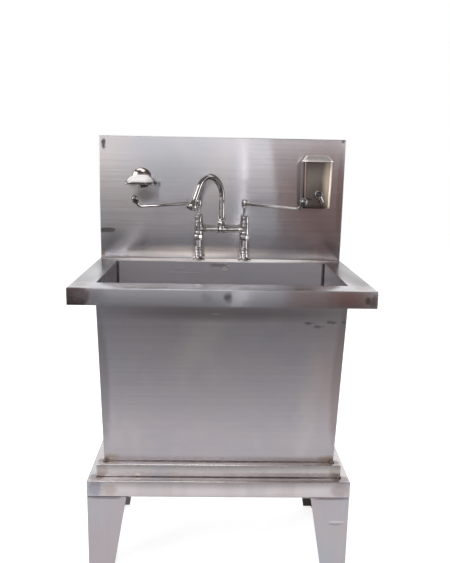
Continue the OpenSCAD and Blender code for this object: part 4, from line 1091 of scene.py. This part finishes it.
@dataclass
class Mixer:
    """Bridge mixer on two pillars. Heights are in mm over the rim."""

    chrome: Material
    y: float = 212.0
    rim: float = 900.0
    pillar_x: float = 76.0
    valve_z: float = 84.0
    bridge_z: float = 101.0
    nut_z: float = 112.2
    collar_z: float = 118.0
    hub_z: float = 172.0
    rod_z: float = 186.04
    tail: float = 60.0
    arch_z: float = 204.0
    arch_r: float = 68.0
    tube_r: float = 9.0
    tube_foot_r: float = 7.5
    spout_angle: float = 54.0
    hot_angle: float = 46.0
    cold_angle: float = 53.0
    lever: float = 236.0
    lever_r: float = 4.9
    lever_foot_r: float = 6.9
    lever_bend: float = 55.0

    def _at(self, x: float, z: float = 0.0) -> Matrix:
        """A place on the mixer's line."""
        return at(x, self.y, self.rim + z)

    def pillars(self) -> None:
        """Bell flanges, ringed pillars, union nuts, collars and bonnets."""
        flange = [(10.7, 0.0), (23, 0.0), (23, 2.6), (20.8, 4.6), (15.5, 7.6), (12.6, 13), (12.2, 18.6),
                  (11.4, 22), (10.7, 22)]
        shaft = [(6, -self.tail), (10.4, -self.tail), (10.4, -38), (9.7, -38), (9.7, -36), (10.4, -36),
                 (10.4, 2), (9, 2), (9, 22.4), (10.4, 22.6), (11.7, 25.9), (9.9, 31.2), (9, 31.4),
                 (9, 34.9), (11.7, 38.5), (9, 43.9), (9, 64), (8.4, 64), (8.4, 84), (6, 84)]
        collar = [(10.2, 0), (15, 0), (15, 4), (10.2, 4)]
        bonnet = [(4.2, -11), (9.9, -11), (9.9, 4), (12.8, 4), (12.8, 9), (11.9, 10), (11.9, 20), (12.8, 21),
                  (12.8, 25), (9.8, 28), (4.2, 28)]
        for name, node, z, profile, bend in (("deck_bells", "deck_flanges", 0.0, flange, 1.6),
                                             ("pillar_shafts", "pillars", 0.0, shaft, 1.0),
                                             ("pillar_nuts", "union_nuts", 0.0, [], 0.0),
                                             ("collar_rings", "valve_collars", self.collar_z, collar, 1.1),
                                             ("bonnet_caps", "bonnets", self.collar_z, bonnet, 1.0)):
            pen = Pen()
            for side in (-1, 1):
                place = self._at(side * self.pillar_x, z)
                if profile:
                    pen.lathe(soften(profile, bend), place)
                else:
                    pen.hexagon(15.6, 65.9, 83.6, place @ turned(12))
            pen.piece(name, self.chrome, replaces=[node], slot="chrome")

    def bridge(self) -> None:
        """Valve bodies, bridge tube, centre tee and the spout's nut."""
        pen = Pen()
        body = soften([(7.0, 0), (12.6, 0), (13.4, 1.5), (13.4, 8), (12.9, 10), (12.9, 24), (13.4, 26),
                       (13.4, 32.5), (12.6, 34), (10.1, 34)], 1.0)
        arm = soften([(0.0, 0), (11.4, 4), (11.4, 15), (9.2, 19), (8.0, 26), (7.6, 36), (7.9, 56),
                      (9.4, 60.5), (9.4, 64), (8.0, 66), (0.0, 76)], 1.2)
        for side in (-1, 1):
            pen.lathe(body, self._at(side * self.pillar_x, self.valve_z))
            pen.lathe(arm, self._at(side * self.pillar_x, self.bridge_z) @ turned(-90 * side, "Y"))
        tee = soften([(0.0, -12.9), (3.0, -12.3), (8.0, -10.0), (11.4, -6.0), (12.6, 0), (11.6, 5), (10, 8.5),
                      (10, 16.9), (7.7, 16.9)], 2.0, 4)
        pen.lathe(tee, self._at(0.0, self.bridge_z))
        pen.piece("bridge_casting", self.chrome, replaces=["bridge_body"], slot="chrome")
        cone = soften([(9.4, 16.4), (13.2, 16.4), (13.0, 20), (11.4, 24.5), (10.4, 26.6), (9.4, 26.6)], 1.0)
        Pen().hexagon(14.9, self.nut_z, self.nut_z + 16.5, self._at(0.0)).lathe(
            cone, self._at(0.0, self.nut_z)).piece(
            "swivel_nut", self.chrome, replaces=["spout_nut"], slot="chrome")

    def spout(self) -> None:
        """Swan-neck tube and its bell nozzle, on the spout's body."""
        foot = self.bridge_z + 4.4
        course = Course(self._at(0.0, foot) @ turned(180 + self.spout_angle))
        course.go(12.9).go(0.2).go(self.arch_z - foot - 13.1, 4).turn(self.arch_r, 150, 48).go(40)
        radii = [self.tube_foot_r] * 2 + [self.tube_r] * (len(course.frames) - 2)
        Pen().sweep(course, radii, 40).piece("spout_tube", self.chrome, "spout_arm", ["spout"], "chrome")
        bell = soften([(6.5, 0), (9.2, 0), (10.5, 2.5), (10.1, 5), (11.6, 9), (14.4, 15), (16.7, 20),
                       (17.4, 23.5), (17.4, 28.6), (16.6, 30), (15, 30), (15, 24.7), (6.5, 24.2),
                       (6.5, 0)], 1.4)
        Pen().lathe(bell, course.frames[-1]).piece(
            "spout_bell", self.chrome, "spout_arm", ["spout_nozzle"], "chrome")

    def handle(self, side: int, grip: Material) -> None:
        """Spindle, hub, rod and grip of one side.

        Args:
            side: -1 for hot at the left, 1 for cold at the right.
            grip: Finish of the grip.
        """
        name, angle = ("hot", 180 + self.hot_angle) if side < 0 else ("cold", -self.cold_angle)
        body, x = f"{name}_handle", side * self.pillar_x
        hub = soften([(4.2, 0), (8.6, 0), (9.6, 2), (9.0, 6), (9.9, 9), (9.9, 19), (9.2, 23), (7.4, 25.4),
                      (0.0, 25.9)], 1.4, 4)
        rod = Course(self._at(x, self.rod_z) @ turned(angle) @ turned(90, "Y"))
        rod.go(15.5).go(0.5).go(self.lever - 16, 8).turn(22, -self.lever_bend, 14)
        radii = [self.lever_foot_r] * 2 + [self.lever_r] * (len(rod.frames) - 2)
        Pen().lathe(hub, self._at(x, self.hub_z)).sweep(rod, radii, 24).piece(
            f"{name}_lever_rod", self.chrome, body, [f"{name}_lever"], "chrome")
        bulb = soften([(0, -0.5), (5.2, 0), (6.2, 2.5), (8.6, 7.5), (10.9, 12.5), (11.5, 16.5), (10.4, 21.6),
                       (7.2, 25.6), (3.0, 27.2), (0, 27.3)], 2.2, 5)
        Pen().lathe(bulb, rod.frames[-1], 40).piece(
            f"{name}_lever_grip", grip, body, [f"{name}_grip"], "chrome")
        spindle = soften([(0, 109), (4.05, 109), (4.05, 150), (3.7, 152), (3.7, 168), (4.05, 170),
                          (4.05, 184), (0, 184)], 0.6)
        Pen().lathe(spindle, self._at(x), 32).piece(
            f"{name}_stem", self.chrome, body, [f"{name}_spindle"], "chrome")

    def build(self) -> None:
        """Builds and dresses the whole mixer."""
        self.pillars()
        self.bridge()
        self.spout()
        # Painted shade: the grips' plating is a darkened copy of the chrome, standing in for the soap dish's
        # shadow on the hot grip.
        grip = Chrome("grip_plating_painted_shade", (0.26, 0.25, 0.24), 0.10, 0.2, (0.16, 0.15, 0.14)).build()
        self.handle(-1, grip)
        self.handle(1, grip)


# Accessories


@dataclass
class SoapDish:
    """Soap dish on the backsplash. Places are in mm of the row frame."""

    chrome: Material
    x: float = -262.0
    y: float = 199.0
    top: float = 1152.0
    splash_y: float = 240.0
    half_x: float = 56.0
    half_y: float = 38.0
    ball: float = 28.0
    ball_reach: float = 14.0
    ball_steps: int = 16

    def build(self) -> None:
        """Wall flange, tray and insert."""
        # Painted shade: the rose's plating is a darkened copy of the chrome, standing in for the dark
        # surroundings it mirrors.
        rose = Chrome("rose_plating_painted_shade", (0.40, 0.35, 0.34), 0.08, 0.16, SHADE).build()
        wall = at(self.x, self.splash_y, self.top + 10) @ turned(90, "X")
        dome = soften([(33, 0), (33, 1.4), (31.5, 2.6), (27, 5.2), (20, 8.2), (11, 10.4), (0, 11)], 1.6, 4)
        Pen().lathe([(0, 0)] + dome, wall, 72).piece(
            "dish_rose", rose, replaces=["dish_flange"], slot="chrome")
        edge = [(13.5, 10, 0.5, -9), (6.0, 4.5, 2.5, -9), (3.9, 3.6, 2.0, -8), (3.5, 3.4, 1.6, -3.5),
                (2.9, 2.8, 1.2, -2.4), (0.5, 0.5, 0.3, -2.2), (0.0, 0.0, 0.0, -1.6), (0.1, 0.1, 0.1, -0.8),
                (0.9, 0.8, 0.6, 0.0), (2.2, 2.2, 1.4, -0.5), (3.6, 3.4, 2.0, -2.6), (5.2, 5.1, 2.2, -6.0),
                (7.0, 6.5, 3.0, -7.4), (13.5, 10, 0.5, -7.4)]
        skin = [self._ring(self.half_x - dx, self.half_y - dy, self.half_y - max(dy, bend), z)
                for dx, dy, bend, z in edge]
        Pen().shell(skin).piece("dish_pan", self.chrome, replaces=["dish_tray"], slot="chrome")
        rest = [self._ring(36, 22, 21.9, -7.3), self._ring(40.6, 26.6, 26.5, -7.3),
                self._ring(41.7, 27.7, 27.6, -6.5)]
        for i in range(1, self.ball_steps + 1):
            lift = math.radians(90.0 * i / self.ball_steps)
            ball, rise = self.ball * math.cos(lift) + 0.05, self.ball * math.sin(lift)
            rest.append(self._ring(self.ball_reach + ball, ball, ball * 0.999, rise - 7.4))
        white = Plain("white_insert", (0.70, 0.67, 0.66), (0.60, 0.56, 0.53), 0.30, 0.3).build()
        Pen().shell(rest).piece("dish_soap_rest", white, "insert_part", ["dish_insert"], "white_insert", 60.0)

    def _ring(self, half_x: float, half_y: float, corner: float, z: float) -> Ring:
        """An outline about the dish's middle, at a height over its top."""
        return Ring(half_x, half_y, corner, self.top + z, self.x, self.y)


@dataclass
class Dispenser:
    """Push-button soap dispenser. Places are in mm of the row frame."""

    chrome: Material
    x: float = 303.0
    floor: float = 1076.0
    top: float = 1223.0
    front: float = 180.0
    rear: float = 238.4
    half_top: float = 48.5
    half_foot: float = 45.0
    push_x: float = 306.0
    push_z: float = 1122.0
    valve_out: float = 17.0
    lean: float = 28.0
    hinge_y: float = 233.4
    hinge_z: float = 1227.3
    knuckle: float = 10.0
    lid_knuckle: float = 54.0

    def _ring(self, z: float, inset: float, corner: float) -> Ring:
        """Outline of the body.

        Args:
            z: Its height.
            inset: How far it is drawn in.
            corner: Radius of its front corners.

        Returns:
            The outline.
        """
        half = self.half_foot + (self.half_top - self.half_foot) * (z - self.floor) / (self.top - self.floor)
        return Ring(half - inset, (self.rear - self.front) / 2 - inset, corner, z, self.x,
                    (self.rear + self.front) / 2, 1.5)

    def _knuckle(self, pen: Pen, x: float, length: float) -> None:
        """A sleeve of the hinge, from a place at the left."""
        sleeve = soften([(1.6, 0), (4, 0), (4, length), (1.6, length)], 0.5)
        pen.lathe(sleeve, at(x, self.hinge_y, self.hinge_z) @ turned(90, "Y"), 24)

    def body(self) -> None:
        """Pressed body with rounded edges and two sleeves of the hinge."""
        low, high = self.floor, self.top
        levels = [(low, 6, 11), (low, 3.0, 13), (low + 0.9, 1.0, 15), (low + 3, 0.1, 15.9),
                  (low + 12, 0, 16), (high - 1, 0, 16), (high, 0.5, 15.6), (high, 1.2, 15),
                  (high - 8, 1.2, 15), (low + 6, 1.3, 15), (low + 1.6, 6, 11)]
        pen = Pen().shell([self._ring(*level) for level in levels])
        for left in (self.x - 38.0, self.x + 28.0):
            self._knuckle(pen, left, self.knuckle)
            pen.slab((left, 232.4, 1217), (left + self.knuckle, 238.3, 1226.8), 0.5)
        # Painted shade: the body's steel is made very dark, standing in for the dark room it mirrors.
        steel = SheetSteel("dispenser_steel", (0.175, 0.148, 0.132), Axis.UPRIGHT, 0.26,
                           cool=(0.150, 0.135, 0.128), warm=(0.20, 0.168, 0.13), wave_depth=0.1,
                           patches=DISPENSER_PAINTED_LIGHT).build()
        pen.piece("dispenser_case", steel, replaces=["dispenser_body"], slot="dispenser_steel")

    def lid(self) -> None:
        """Sloping lid that turns about its rear edge."""
        base = self.top + 0.3
        sizes = [(47.6, 23.4, 15.0, 0.1, 204.0), (49.0, 24.6, 16.5, 0.0, 204.0),
                 (49.3, 24.8, 16.8, 0.6, 204.0), (49.2, 24.7, 16.6, 2.6, 204.0),
                 (48.4, 24.3, 16.0, 3.9, 204.1), (36.6, 14.6, 9.0, 17.4, 206.2),
                 (34.6, 12.9, 7.6, 19.2, 206.4), (32.0, 10.8, 6.0, 19.9, 206.5)]
        pen = Pen().shell([Ring(half_x, half_y, bend, base + z, self.x, y, min(bend, 3.0))
                           for half_x, half_y, bend, z, y in sizes])
        left = self.x - self.lid_knuckle / 2
        self._knuckle(pen, left, self.lid_knuckle)
        pen.slab((left, 227.8, base), (left + self.lid_knuckle, self.hinge_y, base + 3.9), 0.4)
        # Painted highlight: the lid's plating is a whitened copy of the chrome, standing in for a bright
        # reflection.
        plating = Chrome("lid_plating_painted_highlight", (1.0, 0.94, 0.92), 0.34, 0.12).build()
        pen.piece("dispenser_cover", plating, "lid", ["dispenser_lid"], "chrome")

    def valve(self, rubber: Material) -> None:
        """Bezel with its barrel, the button, the nozzle and the level window.

        Args:
            rubber: Finish of the window.
        """
        face = at(self.push_x, self.front - self.valve_out, self.push_z) @ turned(-90, "X")
        bezel = soften([(7.1, 3), (7.6, 1.2), (9.8, 0), (11.5, 0.8), (12, 3), (12, 15.4), (11.6, 16.9),
                        (9, 16.9), (9, 37), (0, 37), (0, 35), (7.1, 35), (7.1, 3)], 0.8)
        tube = soften([(0, 0), (3, 0), (3, 37), (0, 37)], 0.5)
        Pen().lathe(bezel, face).lathe(tube, at(self.push_x, 196, self.floor + 8), 24).piece(
            "push_bezel", self.chrome, replaces=["push_valve"], slot="chrome")
        knob = soften([(0, -8), (4.8, -8), (6.6, -6.8), (7, -5), (7, 9), (5, 9), (5, 4), (0, 4)], 0.8)
        dark = Plain("dark_knob", (0.03, 0.028, 0.03), (0.10, 0.09, 0.09), 0.28, 0.3).build()
        Pen().lathe(knob, face).piece("push_knob", dark, "button", ["push_button"], "rubber")
        under = (at(self.push_x, self.front - self.valve_out / 2, self.push_z)
                 @ turned(-self.lean, "Y") @ at(0, 0, -7.4))
        horn = soften([(2.5, -21.8), (5, -21.8), (5.4, -20), (6.0, -12), (7.6, -4), (7.9, 0), (2.5, 0),
                       (2.5, -21.8)], 0.9)
        Pen().lathe(horn, under, 40).piece("soap_horn", self.chrome, replaces=["soap_nozzle"], slot="chrome")
        Pen().slab((self.x - 37.8, self.front - 0.4, self.floor + 27.2),
                   (self.x - 16.2, self.front + 1.2, self.floor + 32.8), 0.35).piece(
            "level_slot", rubber, replaces=["level_window"], slot="tank_plastic")

    def build(self) -> None:
        """Builds and dresses the dispenser and what else is of rubber or plastic."""
        rubber = Plain("black_rubber", (0.022, 0.022, 0.024), (0.06, 0.058, 0.055), 0.55).build()
        self.body()
        self.lid()
        self.valve(rubber)
        dress(["waste_gasket", "outlet_collar", "ledge_washers"], rubber)
        tank = Plain("tank_plastic", (0.80, 0.80, 0.78), (0.62, 0.60, 0.55), 0.45).build()
        dress(["dispenser_tank"], tank)


# Stage


def greys(*stops: Point) -> tuple[tuple[float, Triple], ...]:
    """Stops of a ramp of greys, from pairs of place and value."""
    return tuple((place, (value, value * 0.98, value)) for place, value in stops)


@dataclass(frozen=True)
class Sheet:
    """A flat piece of the stage. Places are in m."""

    name: str
    centre: Triple
    size: Point
    turn: Triple = (0.0, 0.0, 0.0)

    def hang(self, material: Material) -> bpy.types.Object:
        """Puts the piece in the scene.

        Args:
            material: Its finish.

        Returns:
            The new object.
        """
        bm = bmesh.new()
        bmesh.ops.create_grid(bm, x_segments=1, y_segments=1, size=0.5)
        bmesh.ops.scale(bm, vec=(*self.size, 1.0), verts=bm.verts[:])
        for angle, axis in zip(self.turn, "XYZ"):
            bmesh.ops.transform(bm, matrix=turned(angle, axis), verts=bm.verts[:])
        bmesh.ops.translate(bm, vec=self.centre, verts=bm.verts[:])
        mesh = bpy.data.meshes.new(self.name)
        bm.to_mesh(mesh)
        bm.free()
        mesh.materials.append(material)
        made = bpy.data.objects.new(self.name, mesh)
        bpy.context.scene.collection.objects.link(made)
        made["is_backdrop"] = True
        return made


@dataclass(frozen=True)
class Card(Sheet):
    """A glowing studio card that only reflections see."""

    start: Triple = (0.0, 0.0, 0.0)
    end: Triple = (0.0, 0.0, 1.0)
    stops: tuple[tuple[float, Triple], ...] = ()
    strength: float = 1.0

    def build(self) -> None:
        """Hangs the card."""
        tree = Tree(bpy.data.materials.new(self.name))
        colour = tree.stops(tree.along(tree.place(), self.start, self.end), self.stops)
        glow = tree.node("Emission", None, {"Color": colour, "Strength": self.strength})
        made = self.hang(tree.end(tree.out(glow)))
        made.visible_camera = made.visible_diffuse = made.visible_shadow = False


@dataclass
class Studio:
    """Floor, world, lamps, cards and camera."""

    camera_at: Triple = (-0.0298, -1.7831, 1.2271)
    camera_turn: Triple = (1.37301311, -0.01819825, -0.01862323)
    lens: float = 39.07
    floor_size: float = 14.0
    floor_glow: float = 0.72
    world_light: float = 0.55

    def floor(self) -> None:
        """Pale floor that keeps a soft shadow and reads white."""
        tree = Tree(bpy.data.materials.new("floor_pale"))
        colour = tree.mix(tree.noise(tree.place(), 3.0), (0.80, 0.80, 0.80), (0.84, 0.84, 0.84))
        matt = tree.out(tree.node("BsdfDiffuse", None, {"Color": colour}))
        glow = tree.out(tree.node("Emission", None, {
            "Color": (1.0, 1.0, 1.0, 1.0), "Strength": self.floor_glow}))
        both = tree.out(tree.node("AddShader", None, {0: matt, 1: glow}))
        Sheet("floor", (0, 0, 0), (self.floor_size, self.floor_size)).hang(tree.end(tree.seen(matt, both)))

    def world(self) -> None:
        """White where it is seen, soft grey as a light."""
        bpy.context.scene.world = bpy.data.worlds.new("studio")
        tree = Tree(bpy.context.scene.world)
        white = tree.node("Background", None, {"Color": (1.0, 1.0, 1.0, 1.0), "Strength": 1.0})
        soft = tree.node("Background", None, {
            "Color": (0.95, 0.97, 1.0, 1.0), "Strength": self.world_light})
        tree.end(tree.seen(tree.out(soft), tree.out(white)), "World")

    def lamp(self, name: str, at: Triple, aim: Triple, size: float, power: float, colour: Triple) -> None:
        """One soft lamp.

        Args:
            name: Name of the lamp.
            at: Its place in m.
            aim: The point it looks at.
            size: Edge of its square face in m.
            power: Its power in W.
            colour: Its colour.
        """
        data = bpy.data.lights.new(name, "AREA")
        data.size = size
        data.energy = power
        data.color = colour
        made = bpy.data.objects.new(name, data)
        made.location = at
        made.rotation_euler = (Vector(aim) - Vector(at)).to_track_quat("-Z", "Y").to_euler()
        bpy.context.scene.collection.objects.link(made)
        made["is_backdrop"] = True

    def cards(self) -> None:
        """What the metal mirrors: a bright wall over a dim floor, a dark ceiling and two tall windows."""
        wall = greys((0.0, 0.28), (0.15, 0.34), (0.25, 0.42), (0.36, 0.46), (0.44, 0.50), (0.50, 0.66),
                     (0.57, 1.25), (0.70, 1.50), (0.84, 0.85), (1.0, 0.25))
        brown = ((0.0, (0.24, 0.17, 0.16)), (0.25, (0.28, 0.20, 0.19)), (0.45, (0.32, 0.24, 0.23)),
                 (0.70, (0.36, 0.28, 0.27)), (1.0, (0.36, 0.29, 0.28)))
        carpet = greys((0.0, 0.68), (0.27, 0.76), (0.31, 1.00), (0.34, 0.54), (0.37, 0.41), (0.42, 0.43),
                       (0.50, 0.07), (0.62, 0.08), (0.80, 0.12), (1.0, 0.16))
        flat = ((0.0, (0.20, 0.19, 0.184)), (1.0, (0.14, 0.133, 0.1288)))
        side = greys((0.0, 0.14), (0.35, 0.22), (0.6, 0.48), (1.0, 0.16))
        bright = greys((0.0, 0.5), (0.3, 1.0), (1.0, 1.0))
        zero, near, far, one, tall = (0, 0, 0), (0, 1.0, 0), (0, -4.2, 0), (0, 0, 1), (0, 0, 3.1)
        upright, across = (90, 0, 0), (0, 90, 0)
        for card in (
            Card("card_wall", (0.0, -4.2, 1.7), (7.0, 3.4), upright, zero, (0, 0, 3.4), wall, 1.15),
            Card("card_brown", (1.58, -4.0, 1.1), (1.36, 2.2), upright, zero, (0, 0, 2.2), brown),
            Card("card_strip", (0.32, -3.9, 1.05), (0.028, 2.0), (90, 6.7, 0), zero, one, bright, 4.0),
            Card("card_floor", (0.0, -1.6, 0.002), (7.0, 5.2), zero, near, far, carpet),
            Card("card_ceiling", (0.0, -1.6, 3.1), (7.0, 5.4), zero, (0, 1.1, 0), far, flat),
            Card("card_left", (-3.4, -2.0, 1.55), (3.1, 4.6), across, zero, tall, side),
            Card("card_right", (3.4, -2.0, 1.55), (3.1, 4.6), across, zero, tall, side),
            Card("window_left", (-3.2, -2.6, 1.5), (1.7, 0.5), across, zero, one, bright, 4.0),
            Card("window_right", (3.2, -0.4, 1.4), (2.0, 0.7), across, zero, one, bright, 5.0),
        ):
            card.build()

    def camera(self) -> None:
        """Camera at the place and angle of the reference view."""
        data = bpy.data.cameras.new("camera")
        data.lens = self.lens
        data.sensor_width = 36.0
        data.clip_start = 0.05
        made = bpy.data.objects.new("camera", data)
        made.location = self.camera_at
        made.rotation_euler = self.camera_turn
        bpy.context.scene.collection.objects.link(made)
        bpy.context.scene.camera = made

    def build(self) -> None:
        """Sets the stage."""
        bpy.context.scene.view_settings.view_transform = "Standard"
        self.floor()
        self.world()
        self.lamp("lamp_top", (-0.3, -0.5, 3.2), (0.0, 0.0, 0.9), 2.2, 42.0, (1.0, 0.99, 0.98))
        self.lamp("lamp_left", (-2.4, -1.6, 2.0), (0.0, 0.0, 0.9), 1.6, 30.0, (0.97, 0.98, 1.0))
        self.cards()
        self.camera()


def save_size(before: object, after: object) -> None:
    """Turns the object's box before and after the visual model was built into plain lists, which are not
    kept.

    Args:
        before: Corners of the box right after loading.
        after: Corners of the finished visual model.
    """
    plain = [[list(corner) for corner in box] for box in (before, after)]


def main() -> None:
    """Builds every sub-assembly in order."""
    logging.basicConfig(level=logging.INFO, format="%(message)s")
    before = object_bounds()
    chrome = Chrome("chrome_plating", (0.50, 0.475, 0.47), dull=(0.30, 0.27, 0.26)).build()
    for assembly in (SheetBody(), Mixer(chrome), SoapDish(chrome), Dispenser(chrome)):
        assembly.build()
        LOG.info("%s is built", type(assembly).__name__)
    dress(["waste_flange", "waste_nut", "strainer", "trap_nuts", "trap_body", "trap_cup", "outlet_pipe",
           "back_nuts", "dispenser_hinge_pin", "push_spring", "panel_screws"], chrome)
    Studio().build()
    save_size(before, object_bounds())


if __name__ == "__main__":
    main()
